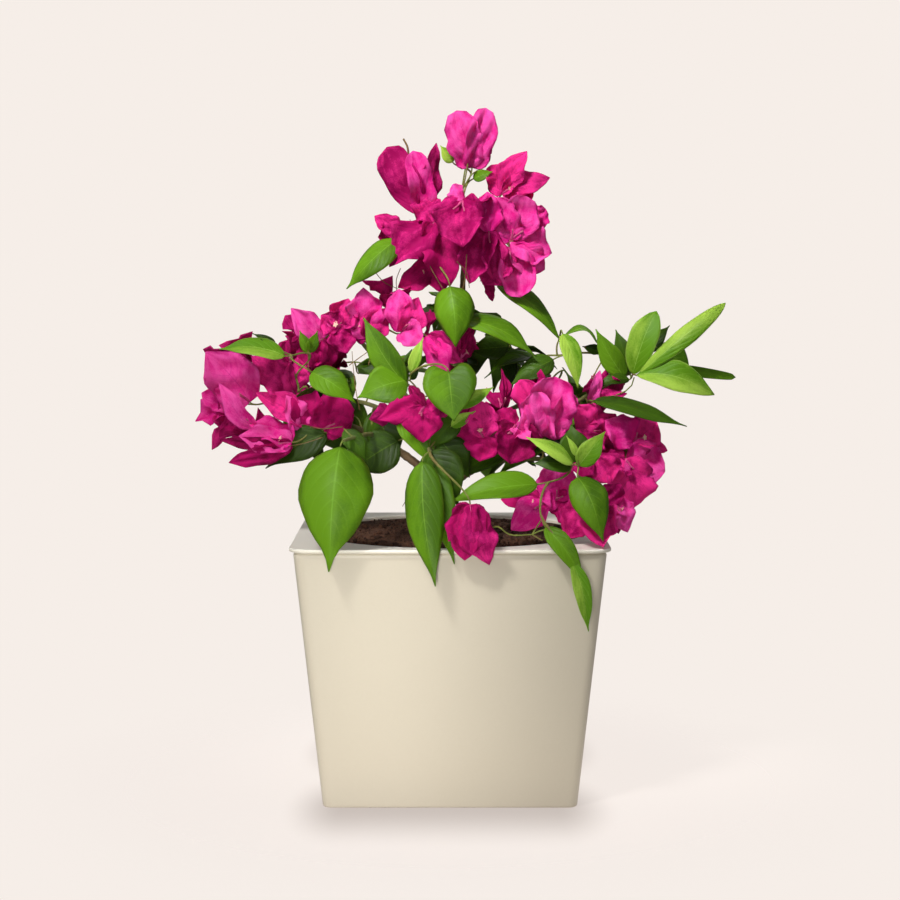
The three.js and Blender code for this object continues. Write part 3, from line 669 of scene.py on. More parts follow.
# A blade runs from base to tip (t from 0 to 1) and from side to side (s from -1 to 1).
# Half width = width/2 * t^a (1-t)^taper over its peak, a = taper * belly / (1 - belly).
# Height above the straight line = bow * length * 4t(1-t) + curl * length * (t^3 - t) + fold * half |s|^1.4
# + cup * half * s^2 + waves along the edges + two zigzags of creases across each other; lobes reach back
# at the base, the tip is drawn out to a point, hook bends it sideways.
def bladeMesh(blades, kind, rows, cols, firstCell, columns):
    u = np.linspace(0, 1, rows + 1)
    t = (0.5 * u + 0.25 * (1 - np.cos(np.pi * u)))[None, :, None]
    s = np.linspace(-1, 1, cols + 1)[None, None, :]
    form = {label: value[:, None, None] for label, value in blades.items() if value.ndim == 1}
    run = blades["tip"] - blades["base"]
    length = np.linalg.norm(run, axis=1)[:, None, None]
    along = unit(run)
    up = unit(blades["face"] - np.sum(blades["face"] * along, axis=1, keepdims=True) * along)
    across = np.cross(along, up)

    taper, belly = form["taper"], form["belly"]
    power = taper * belly / (1 - belly)
    peak = belly ** power * (1 - belly) ** taper
    half = form["width"] / 2 * t ** power * (1 - t) ** taper / peak
    turn = 2 * np.pi * (form["waves"] * t + form["phase"] + 0.25 * np.sign(s))
    half = np.maximum(half * (1 + form["ripple"] * np.sin(turn * 1.7 + 1)), 0.3)
    side = np.abs(s)
    rise = 4 * t * (1 - t)
    point = form["point"] * np.maximum((t - 0.9) / 0.1, 0) ** 2
    x = (t + point) / (1 + form["point"]) * length - form["lobe"] * half * side ** 1.5 * np.exp(-t / 0.2)
    y = s * half + form["hook"] * length * rise
    z = form["bow"] * length * rise + form["curl"] * length * (t ** 3 - t)
    z = z + form["fold"] * half * side ** 1.4 + form["cup"] * half * s ** 2
    z = z + form["wave"] * form["width"] / 2 * s ** 2 * np.sin(turn) * np.minimum(1, 1.6 * rise)
    fan = 2 * np.pi * form["phase"]
    zigzag = sawtooth(form["creases"] * (t * np.cos(fan) + 0.5 * s * np.sin(fan)) + 7 * form["phase"])
    ruffle = sawtooth(1.6 * form["creases"] * (0.5 * s * np.cos(fan) - t * np.sin(fan)) + 5 * form["phase"])
    z = z + form["crinkle"] * half * (zigzag + 0.45 * ruffle) * np.minimum(1, 2 * rise)
    # painted shade and light in the tone mark: crease valleys darker and ridges lighter, the base darker than
    # the tip, one half lighter than the other
    paintedShading = kind["creasePaintedShade"] * (zigzag + 0.6 * ruffle + np.sin(turn) * s ** 2) + kind["paintedShadeToBase"] * (t - 0.5)
    paintedShading = paintedShading - kind["halfPaintedLight"] * (1 - t ** 6) * np.tanh(4 * s) * np.sign(across[:, :1, None])
    angle = form["twist"] * (t - 0.35)
    y, z = y * np.cos(angle) - z * np.sin(angle), y * np.sin(angle) + z * np.cos(angle)
    middle = blades["base"][:, None, None]
    for direction, amount in ((along, x), (across, y), (up, z)):
        middle = middle + direction[:, None, None] * amount[..., None]
    normal = unit(np.cross(np.gradient(middle, axis=2), np.gradient(middle, axis=1)))
    offset = normal * kind["thick"] / 2
    n, size = len(run), (rows + 1) * (cols + 1)
    sheets, strips = bladeFaces(rows, cols)
    place = np.stack(np.broadcast_arrays((s[0] + 1) / 2, t[0]), axis=-1).reshape(-1, 2)
    number = firstCell + np.arange(n)
    corner = np.stack([number % columns, number // columns], axis=1)[:, None, None]
    shift = (np.arange(n) * 2 * size)[:, None, None]
    made = {
        "points": np.stack([middle + offset, middle - offset], axis=1).reshape(-1, 3),
        "tone": np.repeat(form["tone"] + paintedShading, 2, axis=0).ravel(),
        "under": np.tile(np.repeat([0.0, 1.0], size), n),
        "seed": np.repeat(blades["phase"], 2 * size),
    }
    # on the map each blade has a cell of its own: its top on the left, its underside on the right
    for label, faces in (("Sheets", sheets), ("Strips", strips)):
        spots = place[faces % size]
        outward = np.sign(spots - 0.5) * (np.abs(spots - 0.5) > 0.499)
        aside = [0.5, 0] if label == "Sheets" else outward * 0.015
        cells = spots * [0.44, 0.94] + [0.03, 0.03] + (faces >= size)[..., None] * aside
        made["faces" + label] = (faces[None] + shift).reshape(-1, 4)
        made["blade" + label] = np.tile(spots, (n, 1, 1))
        made["cell" + label] = ((cells[None] + corner) / columns).reshape(-1, 4, 2)
    return made


def sawtooth(sweep):  # zigzag between -1 and 1, once up and down for each whole number
    return 4 * np.abs(sweep - np.floor(sweep) - 0.5) - 1


# Faces of one blade: its top and underside, then the strips round its edge that join them.
def bladeFaces(rows, cols):
    size = (rows + 1) * (cols + 1)
    cell = (np.arange(rows)[:, None] * (cols + 1) + np.arange(cols)).ravel()
    top = np.stack([cell, cell + 1, cell + cols + 2, cell + cols + 1], axis=1)
    row = np.arange(rows) * (cols + 1)
    end = np.arange(cols)
    last = rows * (cols + 1)
    edges = ((row + cols, row + 2 * cols + 1), (row + cols + 1, row), (end, end + 1),
             (end + last + 1, end + last))
    strips = [np.stack([one, one + size, two + size, two], axis=1) for one, two in edges]
    return np.concatenate([top, top[:, ::-1] + size]), np.concatenate(strips)


# how thick in mm, rows and columns of the two grids, how strong the painted shade and light are that follow
# the form (creases, base, one half against the other), and the range of every measure that bladeMesh reads
leafKind = {
    "thick": 0.35, "grid": (14, 8), "smallGrid": (8, 6), "creasePaintedShade": 0.12, "paintedShadeToBase": 0.2, "halfPaintedLight": 0.42,
    "form": {
        "belly": (0.34, 0.41), "taper": (0.95, 1.15), "lobe": (0.0, 0.15), "point": (0.04, 0.1),
        "bow": (0.05, 0.16), "curl": (-0.14, 0.06), "fold": (0.12, 0.4), "cup": (-0.22, 0.02),
        "wave": (0.03, 0.11), "waves": (1.0, 2.0), "ripple": (0.01, 0.03), "hook": (-0.06, 0.06),
        "twist": (-0.4, 0.4), "crinkle": (0.0, 0.02), "creases": (2.0, 4.0), "phase": (0.0, 1.0),
    },
}
bractKind = {
    "thick": 0.25, "grid": (13, 12), "smallGrid": (8, 8), "creasePaintedShade": 0.26, "paintedShadeToBase": 0.4,
    "halfPaintedLight": 0.12,
    "form": {
        "belly": (0.4, 0.56), "taper": (0.44, 0.7), "lobe": (0.1, 0.7), "point": (0.03, 0.16),
        "bow": (-0.04, 0.18), "curl": (-0.18, 0.18), "fold": (0.08, 0.6), "cup": (-0.3, 0.2),
        "wave": (0.24, 0.5), "waves": (0.9, 2.1), "ripple": (0.05, 0.13), "hook": (-0.07, 0.07),
        "twist": (-0.5, 0.5), "crinkle": (0.1, 0.22), "creases": (1.6, 3.2), "phase": (0.0, 1.0),
    },
}


# Blades of a kind with their form drawn at random round the middle of its range; calm narrows the range.
def newBlades(kind, rows, hero, calm=1.0, source=rng):
    columns = [np.array(column, float) for column in zip(*rows)]
    blades = dict(zip(("base", "tip", "width", "face", "tone"), columns))
    for label, (low, high) in kind["form"].items():
        middle, reach = (low + high) / 2, (high - low) / 2
        blades[label] = middle + reach * source.uniform(-1, 1, len(rows)) * (1 if label == "phase" else calm)
    blades["hero"] = np.full(len(rows), float(hero))
    return blades


# Joins blades into one piece; the finer grid goes to the ones marked as hero.
def bladePiece(name, blades, kind):
    columns = math.ceil(len(blades["width"]) ** 0.5)
    parts, done = [], 0
    for hero, grid in ((1, kind["grid"]), (0, kind["smallGrid"])):
        chosen = {label: value[blades["hero"] == hero] for label, value in blades.items()}
        if len(chosen["width"]):
            parts.append(bladeMesh(chosen, kind, *grid, done, columns))
            done += len(chosen["width"])
    shift = 0
    for part in parts:
        part["facesSheets"] += shift
        part["facesStrips"] += shift
        shift += len(part["points"])
    joined = joinBlades(parts)
    maps = {label: [joined[start + "Sheets"], joined[start + "Strips"]]
            for label, start in (("bladeUv", "blade"), ("OFBake", "cell"))}
    marks = {label: joined[label] for label in ("tone", "under", "seed")}
    faceSets = [joined["facesSheets"], joined["facesStrips"]]
    return makePiece(name, joined["points"], faceSets, [True, False], maps, marks)


def joinBlades(groups):  # the arrays of several groups, end to end
    return {label: np.concatenate([group[label] for group in groups]) for label in groups[0]}


# Most places and widths in bloomPlan, leafPlan and looseTwigs were worked out beforehand, outside this
# script, and some were changed afterwards.

# forms that several bracts share
pinched = {"taper": 0.36, "point": 0, "wave": 0.2, "belly": 0.5}
rounded = {"taper": 0.42, "point": 0}
wavy = {"wave": 0.3, "crinkle": 0.12}
calmer = {"crinkle": 0.08, "wave": 0.25}

# blooms that show, by mass: each has its centre, then its bracts as tip, width, the way it faces, tone, and
# what is special about its form. A tone is partly the bract's own colour, partly painted light and shade.
bloomPlan = {
    "bloom_top_tip": [
        [(16, -8, 454), ((5, -12, 495), 27, (-0.2, -1, 0.1), 0.84, pinched),
         ((26, -10, 497), 22, (0.25, -1, 0.1), 0.86, pinched), ((18, 12, 487), 24, (0, 1, 0.2), 0.5)],
    ],
    "bloom_top_left": [
        [(-19, -4, 421),
         ((-46, -8, 469), 27, (-0.3, -1, 0.3), 0.34,
          {"belly": 0.62, "taper": 0.36, "point": 0.02, "fold": 0.5}),
         ((-27, -13, 466), 20, (0.2, -1, 0.2), 0.78, {"belly": 0.55, "taper": 0.4, "point": 0}),
         ((-10, -6, 472), 20, (0.5, -0.9, 0), 0.42, {"belly": 0.5, "taper": 0.5})],
    ],
    "bloom_top_right": [
        [(38, -8, 435), ((56, -8, 466), 20, (-0.1, -1, 0.2), 0.62, wavy),
         ((73, -4, 447), 19, (0.1, -1, 0.3), 0.6, wavy),
         ((30, -10, 456), 18, (0, -0.9, 0.3), 0.66, {"taper": 0.45, "point": 0}),
         ((60, -4, 440), 24, (0.1, -1, 0.1), 0.6, rounded)],
        [(44, -24, 401), ((55, -24, 433), 28, (0.1, -1, 0.3), 0.84, {**rounded, **calmer, "fold": 0.2}),
         ((74, -18, 392), 29, (0.2, -0.9, 0.3), 0.84, {"fold": 0.25, "crinkle": 0.1, "wave": 0.3}),
         ((33, -26, 432), 26, (-0.1, -1, 0.2), 0.78, {"taper": 0.44, "point": 0, "crinkle": 0.1})],
        [(58, -10, 414), ((70, -8, 424), 17, (0.4, -0.9, 0.2), 0.7, rounded)],
    ],
    "bloom_top_low_right": [
        [(43, -24, 396), ((51, -26, 360), 28, (0.1, -1, 0.1), 0.8, {**calmer, "taper": 0.45, "point": 0.02}),
         ((69, -16, 380), 24, (0.3, -0.9, -0.1), 0.82, calmer), ((24, -24, 369), 25, (-0.3, -1, 0), 0.5)],
        [(28, -16, 373), ((31, -16, 357), 8, (0.3, -1, 0), 0.2)],
    ],
    "bloom_top_front": [
        [(9, -38, 430),
         ((9, -46, 396), 36, (-0.15, -1, 0.15), 0.42, {"fold": 0.7, "wave": 0.45, "taper": 0.55}),
         ((2, -34, 441), 12, (-0.4, -1, 0.2), 0.95)],
        [(28, -30, 407), ((14, -30, 370), 25, (-0.2, -1, 0), 0.35), ((34, -26, 370), 19, (0.2, -1, 0), 0.45),
         ((27, -28, 436), 22, (0.1, -1, 0.3), 0.68)],
    ],
    "bloom_top_low_left": [
        [(-12, -18, 414), ((-44, -24, 382), 32, (-0.3, -1, 0.2), 0.35),
         ((0, -24, 368), 32, (0.2, -1, 0), 0.25), ((-22, -8, 431), 22, (-0.2, -1, 0.5), 0.45)],
        [(-12, -12, 386), ((-38, -16, 367), 20, (-0.1, -1, -0.2), 0.25),
         ((-6, -14, 363), 19, (0, -1, -0.1), 0.25)],
        [(-34, -10, 404), ((-55, -10, 419), 16, (-0.2, -1, 0.3), 0.45)],
    ],
    "bloom_shoulder_left": [
        [(-94, -12, 329), ((-116, -14, 352), 22, (-0.1, -1, 0.5), 0.9),
         ((-108, -10, 310), 25, (-0.3, -1, 0), 0.2), ((-87, -8, 310), 19, (0.2, -1, 0), 0.2)],
        [(-116, -14, 311), ((-119, -12, 329), 8, (-0.6, -0.8, 0), 0.1)],
        [(-81, -18, 338), ((-74, -16, 359), 22, (0.1, -1, 0.3), 0.6),
         ((-94, -18, 347), 20, (-0.3, -1, 0.2), 0.5), ((-75, -20, 319), 22, (0.1, -1, -0.1), 0.4)],
    ],
    "bloom_shoulder_middle": [
        [(-60, -18, 330), ((-63, -18, 367), 28, (-0.1, -1, 0.3), 0.8),
         ((-74, -14, 348), 17, (-0.5, -1, 0.2), 0.2), ((-47, -16, 352), 22, (0.3, -1, 0.2), 0.5)],
        [(-35, -24, 335), ((-37, -22, 366), 23, (0, -1, 0.2), 0.8),
         ((-23, -20, 360), 20, (0.4, -1, 0.2), 0.6), ((-19, -30, 328), 23, (0.1, -1, 0.4), 0.9)],
        [(-17, -26, 332), ((10, -28, 311), 23, (0, -1, 0.4), 0.5), ((-1, -34, 303), 19, (0.1, -1, 0.3), 0.7)],
        [(8, -28, 316), ((16, -28, 336), 10, (0.4, -1, 0.1), 0.1)],
    ],
    "bloom_left_far": [
        [(-147, -10, 283), ((-179, -12, 320), 38, (-0.2, -1, 0.3), 0.88)],
        [(-143, -24, 266), ((-168, -26, 298), 15, (-0.3, -1, 0.2), 0.9)],
        [(-160, -12, 280), ((-187, -12, 269), 23, (-0.1, -0.8, 0.6), 0.68),
         ((-182, -14, 290), 19, (-0.3, -1, 0.2), 0.74), ((-165, -14, 260), 22, (0, -1, -0.1), 0.4)],
    ],
    "bloom_left_inner": [
        [(-114, -14, 290), ((-145, -14, 317), 26, (-0.1, -1, 0.1), 0.5),
         ((-112, -12, 316), 21, (0.2, -1, 0.1), 0.6)],
        [(-107, -22, 266), ((-142, -20, 291), 20, (0, -1, 0.5), 0.6),
         ((-119, -28, 289), 20, (0.3, -1, 0.1), 0.95), ((-99, -22, 296), 25, (0.2, -1, 0.1), 0.3)],
        [(-92, -24, 264), ((-79, -24, 293), 29, (0.2, -1, 0.1), 0.3),
         ((-70, -22, 275), 20, (0.3, -1, 0), 0.3)],
    ],
    "bloom_left_low": [
        [(-115, -30, 255), ((-153, -34, 260), 22, (0, -0.9, 0.4), 0.9),
         ((-161, -28, 240), 16, (0, -1, -0.2), 0.2), ((-168, -22, 256), 10, (-0.2, -1, 0.1), 0.1),
         ((-146, -26, 268), 22, (0, -0.8, 0.6), 0.7)],
    ],
    "bloom_middle": [
        [(-18, -62, 283), ((-52, -64, 274), 20, (-0.1, -1, 0.3), 0.32),
         ((0, -62, 279), 20, (0.2, -1, 0.2), 0.36), ((-19, -68, 258), 27, (0, -1, 0.2), 0.28),
         ((-29, -58, 298), 9, (-0.3, -1, 0.1), 0)],
    ],
    "bloom_centre": [
        [(68, -52, 261),
         ((75, -54, 304), 35, (0.1, -1, 0.2), 0.82, {"taper": 0.4, "point": 0, "belly": 0.55, "fold": 0.5}),
         ((60, -62, 294), 26, (-0.3, -1, 0.2), 0.92, {"taper": 0.4, "point": 0, "fold": 0.5}),
         ((50, -54, 302), 25, (-0.4, -1, 0.1), 0.6, rounded),
         ((88, -50, 292), 20, (0.6, -0.9, 0.1), 0.8, rounded)],
        [(24, -58, 261), ((22, -58, 287), 23, (0, -1, 0.3), 0.6), ((4, -54, 272), 20, (-0.3, -1, 0.2), 0.3),
         ((21, -62, 244), 26, (0, -1, -0.1), 0.3)],
        [(47, -56, 270), ((43, -60, 242), 33, (0.1, -1, 0), 0.1), ((57, -66, 260), 14, (-0.2, -1, 0.3), 0.9),
         ((33, -52, 279), 19, (-0.2, -1, 0.2), 0.3)],
        [(37, -44, 280), ((37, -42, 309), 9, (0.8, -0.6, 0), 0.2)],
    ],
    "bloom_right": [
        [(110, -34, 263), ((87, -38, 282), 25, (-0.2, -1, 0.4), 0.66),
         ((120, -34, 276), 20, (0.1, -1, 0.3), 0.58), ((94, -40, 253), 22, (-0.1, -1, 0), 0.48)],
        [(133, -36, 256), ((150, -32, 270), 27, (0.2, -1, 0.3), 0.66),
         ((158, -30, 249), 13, (0.4, -0.9, 0.1), 0.58), ((112, -40, 272), 25, (-0.2, -1, 0.4), 0.68)],
        [(127, -38, 244), ((156, -34, 234), 32, (0.3, -1, 0.2), 0.82, {"crinkle": 0.1, "wave": 0.3}),
         ((133, -38, 208), 36, (0.1, -1, -0.1), 0.66), ((110, -42, 233), 23, (-0.2, -1, 0), 0.38)],
        [(104, -48, 246), ((88, -52, 266), 25, (-0.2, -1, 0.3), 0.5),
         ((82, -50, 242), 24, (-0.2, -1, 0), 0.35), ((116, -52, 228), 27, (0.1, -1, 0), 0.55)],
        [(120, -26, 244), ((136, -24, 266), 32, (0, -1, 0.1), 0.36), ((112, -24, 264), 28, (0, -1, 0.1), 0.3),
         ((146, -24, 246), 24, (0.2, -1, 0), 0.4)],
        [(102, -26, 284), ((109, -24, 307), 10, (0.4, -1, 0.2), 0.95),
         ((129, -22, 290), 10, (0.1, -1, 0.4), 0.48)],
    ],
    "bloom_right_low": [
        [(117, -80, 214), ((130, -80, 209), 13, (0.3, -0.9, 0.3), 0.85),
         ((125, -84, 196), 21, (0.3, -1, 0), 0.95), ((109, -74, 229), 21, (0, -1, 0.2), 0.35)],
        [(99, -80, 217), ((106, -110, 189), 29, (0, -1, 0.1), 0.62),
         ((81, -84, 191), 27, (-0.2, -1, 0), 0.45)],
    ],
    "bloom_centre_low": [
        [(75, -70, 217), ((75, -72, 247), 30, (0, -1, 0.3), 0.76), ((63, -78, 221), 17, (-0.2, -1, 0.3), 0.7),
         ((96, -72, 205), 24, (0.2, -1, 0), 0.3)],
        [(68, -74, 216), ((43, -78, 197), 23, (-0.2, -1, 0.3), 0.7),
         ((36, -72, 218), 17, (-0.2, -1, 0.1), 0.3)],
    ],
    "bloom_hanging": [
        [(14, -114, 219), ((14, -124, 185), 29, (-0.1, -1, 0.1), 0.05),
         ((10, -120, 181), 23, (-0.3, -1, 0), 0.26), ((27, -120, 178), 23, (0.3, -1, 0), 0.42),
         ((-1, -118, 194), 15, (-0.5, -1, 0.1), 0.25)],
    ],
}

# leaves that show: base, tip, width, the way it faces, tone, and what is special about its form. A tone is
# partly the leaf's own colour, partly painted light and shade; the darkest stand for leaves in shade.
leafPlan = {
    "topLeft": ((-38, -18, 402), (-75, -24, 366), 25, (-0.4, -0.8, 0.5), 0.5, {"fold": -0.1}),
    "crownPale": ((2, -6, 458), (-7, -8, 470), 10, (0, -1, 0.2), 0.9),
    "crownSmall": ((17, -10, 446), (31, -12, 451), 9, (0.2, -1, 0.4), 0.6),
    "neck": ((0, -38, 368), (4, -46, 325), 29, (-0.1, -1, 0.15), 0.6,
        {"fold": -0.3, "lobe": 0, "taper": 0.85, "belly": 0.36}),
    "slopeA": ((34, -10, 370), (82, -12, 327), 20, (0.3, -0.7, 0.7), 0.5, {"bow": 0.1}),
    "slopeB": ((8, -30, 343), (63, -32, 317), 25, (0, -0.6, 0.9), 0.5, {"bow": 0.15}),
    "archC": ((82, -20, 330), (110, -20, 324), 12, (0, -0.3, 1), 0.6, {"bow": 0.35}),
    "dropD": ((81, -38, 334), (92, -44, 295), 15, (0.3, -1, 0.3), 0.9),
    "darkUnder": ((63, -14, 316), (25, -20, 301), 16, (-0.1, -0.5, 0.8), 0.1),
    "darkOlive": ((43, -8, 324), (13, -10, 321), 19, (0, -1, 0.4), 0.1),
    "darkGreen": ((75, -24, 315), (43, -30, 296), 20, (-0.1, -0.8, 0.6), 0.2),
    "smallDark": ((110, -10, 320), (97, -10, 324), 8, (0, -1, 0.3), 0.1),
    "shootLeft": ((127, -18, 302), (106, -20, 337), 17, (-0.3, -0.9, 0.5), 0.62),
    "upright": ((133, -22, 304), (150, -22, 350), 22, (-0.35, -1, 0.1), 0.68,
        {"belly": 0.54, "taper": 0.55, "point": 0.03}),
    "long": ((136, -32, 304), (199, -30, 356), 15, (-0.3, -1, 0.5), 0.82,
        {"belly": 0.54, "taper": 0.66, "twist": 0, "wave": 0.03, "point": 0.0, "fold": -0.12}),
    "droop": ((135, -32, 304), (191, -36, 290), 23, (0, -0.9, 0.5), 0.8,
        {"bow": 0.16, "belly": 0.5, "taper": 0.75}),
    "thin": ((141, -12, 310), (210, -6, 301), 8, (0, -1, 0.4), 0.66,
        {"belly": 0.5, "taper": 0.32, "point": 0}),
    "behind": ((152, -8, 323), (178, -8, 303), 22, (0.1, -0.9, 0.5), 0.42),
    "darkUp": ((131, -4, 304), (122, -2, 336), 15, (0, -1, 0.2), 0.3),
    "darkBit": ((144, -2, 320), (162, 0, 339), 12, (0, -1, 0.2), 0.1),
    "underShoot": ((131, -18, 300), (105, -22, 293), 10, (0, -0.8, 0.6), 0.2),
    "rightLow": ((103, -44, 286), (170, -48, 268), 18, (0.1, -0.6, 0.8), 0.3),
    "leftTop": ((-119, -36, 318), (-166, -38, 323), 20, (0, -0.75, 0.75), 0.75, {"bow": 0.1}),
    "redTip": ((-126, -30, 324), (-143, -28, 334), 7, (0, -0.7, 0.7), 0.1),
    "budA": ((-102, -24, 320), (-109, -26, 336), 9, (-0.3, -1, 0.2), 0.55),
    "budB": ((-102, -24, 320), (-96, -26, 336), 9, (0.3, -1, 0.2), 0.5),
    "leaf1": ((-99, -48, 307), (-67, -54, 285), 23, (0.1, -0.9, 0.5), 0.6),
    "shoulder": ((-32, -50, 299), (-62, -48, 346), 21, (-0.2, -1, 0.2), 0.5),
    "paleSmall": ((-28, -54, 307), (-19, -54, 332), 9, (0.1, -1, 0.2), 1),
    "tiny": ((-28, -52, 302), (-22, -52, 312), 6, (0.2, -1, 0.1), 0.1),
    "leaf2": ((-31, -50, 301), (-66, -56, 289), 30, (-0.1, -1, 0.35), 0.6),
    "darkBehind2": ((-33, -38, 302), (-66, -36, 309), 17, (0, -0.8, 0.5), 0.1),
    "heart": ((-1, -72, 308), (3, -82, 274), 38, (0, -0.9, 0.4), 0.44,
        {"lobe": 0.9, "taper": 1.0, "belly": 0.33}),
    "belowMid": ((-36, -58, 275), (-14, -64, 242), 17, (0.1, -1, 0.3), 0.5),
    "belowMidR": ((5, -58, 275), (-15, -60, 253), 19, (-0.1, -1, 0.3), 0.3),
    "tanLeaf": ((4, -64, 283), (31, -60, 297), 11, (0.1, -1, 0.3), 0.8),
    "limeLeaf": ((1, -62, 269), (18, -62, 280), 9, (0.1, -1, 0.3), 0.8),
    "hangLeft": ((-76, -102, 258), (-83, -127, 174), 52, (-0.1, -1, 0.15), 0.64,
        {"lobe": 0.0, "taper": 1.05, "belly": 0.38, "point": 0.1, "fold": -0.3}),
    "hangMid": ((-19, -105, 248), (-10, -127, 164), 28, (-0.2, -1, 0.1), 0.44, {"fold": -0.2}),
    "hangMid2": ((-12, -88, 246), (3, -117, 178), 22, (0.2, -1, 0.1), 0.36),
    "hangBack": ((-15, -84, 253), (6, -88, 215), 31, (0.1, -1, 0.2), 0.2),
    "lowMiddle": ((61, -94, 231), (-1, -100, 219), 24, (0, -0.8, 0.7), 0.66, {"bow": 0.13, "fold": 0.35}),
    "rosetteL": ((86, -90, 245), (53, -94, 264), 14, (-0.2, -0.7, 0.8), 0.9),
    "rosetteT": ((89, -88, 246), (85, -84, 272), 24, (0, -1, 0.4), 0.3),
    "rosetteR": ((90, -92, 244), (108, -94, 268), 16, (0.2, -1, 0.3), 0.7),
    "rosetteD": ((85, -86, 242), (57, -88, 245), 14, (-0.1, -0.9, 0.5), 0.2),
    "rosetteY": ((88, -94, 251), (81, -96, 265), 5, (0, -1, 0.3), 1),
    "hangRight": ((89, -95, 236), (106, -110, 193), 26, (0.1, -1, 0.2), 0.5, {"fold": -0.15}),
    "trailA": ((66, -112, 203), (93, -122, 163), 15, (0.2, -1, 0.2), 0.66),
    "trailB": ((84, -121, 180), (95, -127, 133), 13, (0.3, -1, 0.1), 0.74),
    "oliveLeft": ((-90, -24, 261), (-135, -20, 235), 26, (0, -1, 0.4), 0.0),
    "dark1": ((-37, -50, 258), (-71, -46, 236), 33, (0, -1, 0.3), 0.0),
    "dark2": ((-54, -44, 280), (-38, -40, 242), 29, (0, -1, 0.3), 0.0),
    "dark3": ((-74, -80, 268), (-59, -84, 246), 15, (0.1, -1, 0.3), 0.3),
    "dark4": ((-7, -60, 259), (14, -56, 232), 26, (0, -1, 0.3), 0.1),
}


# Points of a cloud that lie as far from each other as can be, one after another.
def spreadPoints(points, count):
    chosen = [int(np.argmax(np.linalg.norm(points - points.mean(axis=0), axis=1)))]
    reach = np.linalg.norm(points - points[chosen[0]], axis=1)
    while len(chosen) < count:
        chosen.append(int(reach.argmax()))
        reach = np.minimum(reach, np.linalg.norm(points - points[chosen[-1]], axis=1))
    return points[chosen]


woodPoints = np.concatenate([path[::3] for path in paths.values()])


def nearestWood(point):  # the nearest point of the trunk and boughs
    return woodPoints[np.argmin(np.linalg.norm(woodPoints - point, axis=1))]


# gaps in the crown seen from the front: middle x and z, half width and half height, as they lie at y = 0
openings = np.array([
    (1, 449, 9, 8), (18, 440, 7, 5), (21, 358, 9, 7), (-58, 281, 9, 6), (-21, 292, 9, 7),
    (-59, 319, 13, 10), (-31, 247, 8, 6), (-140, 276, 12, 7), (-46, 215, 17, 28), (118, 310, 8, 9),
    (63, 337, 6, 9), (53, 202, 33, 7), (46, 347, 12, 9), (95, 318, 13, 10),
], float)


# Whether a blade lies across one of the gaps for an eye in front of the plant.
def coversOpening(base, tip):
    eye = np.array(cameraLook["place"]) * 1000
    spots = base + (tip - base) * np.linspace(0.2, 0.95, 6)[:, None]
    seen = eye + (spots - eye) * (eye[1] / (eye[1] - spots[:, 1:2]))
    away = (seen[:, None, [0, 2]] - openings[None, :, :2]) / (openings[None, :, 2:] + 3)
    return bool((np.sum(away ** 2, axis=2) < 1).any())


# how many leaves grow in each mass, how far they are set back, and their tone; the low tones of the masses
# inside and under the crown are partly painted shade
leafGrowth = {
    "leaves_upper_right": (2, 22, 0.3), "leaves_left_middle": (6, 16, 0.1),
    "leaves_right_inner": (2, 24, 0.42), "leaves_left_under": (5, 10, 0.0), "leaves_rosette": (1, 22, 0.15),
    "leaves_inner": (11, 8, 0.05), "leaves_low_inner": (10, 8, 0.05), "leaves_back_upper": (12, 6, 0.45),
    "leaves_back_middle": (16, 4, 0.4), "leaves_back_left": (18, 4, 0.5), "leaves_back_right": (18, 4, 0.5),
    "leaves_back_hanging": (18, 0, 0.5),
}
leafSize = {"length": (34, 58), "width": (0.42, 0.56), "droop": -0.45, "toneSpread": 0.15}


# Leaves of one mass: tips at its far corners, each blade running out from the wood and drooping a little.
def growLeaves(name, count, setBack, tone):
    rows = []
    cloud = nodePoints(name)
    middle = cloud.mean(axis=0)
    for tip in spreadPoints(cloud, count):
        tip = middle + (tip - middle) * rng.uniform(0.8, 1.0) + [0, setBack, 0]
        out = unit(tip - (0.5 * middle + 0.5 * nearestWood(middle)) + rng.normal(size=3) * 6)
        out = unit(out + [0, 0, leafSize["droop"]])
        length = rng.uniform(*leafSize["length"])
        width = length * rng.uniform(*leafSize["width"])
        face = unit(np.array([0, 0, 0.75]) + 0.5 * unit(tip - [0, 0, tip[2]]) + 0.25 * rng.normal(size=3))
        shade = float(np.clip(tone + rng.normal() * leafSize["toneSpread"], 0, 1))
        if not coversOpening(tip - out * length, tip):
            rows.append((tip - out * length, tip, width, face, shade))
    return rows


bractSize = {
    "length": (23, 31), "reach": (0.88, 1.08), "width": (0.72, 0.95), "opening": (38, 62), "toneSpread": 0.12,
    "frontTones": (0.1, 0.5), "backTones": (0.2, 0.8), "hiddenReach": 28, "full": 32, "lowest": 204.0,
}


def clearRim(tip):  # a grown bract's tip stays above the planter's rim
    return np.maximum(tip, (-999.0, -999.0, bractSize["lowest"]))


def framed(axis):  # two directions square to an axis and to each other
    side = unit(np.cross(axis, [0.3, 0.5, 1.0]))
    return side, np.cross(axis, side)


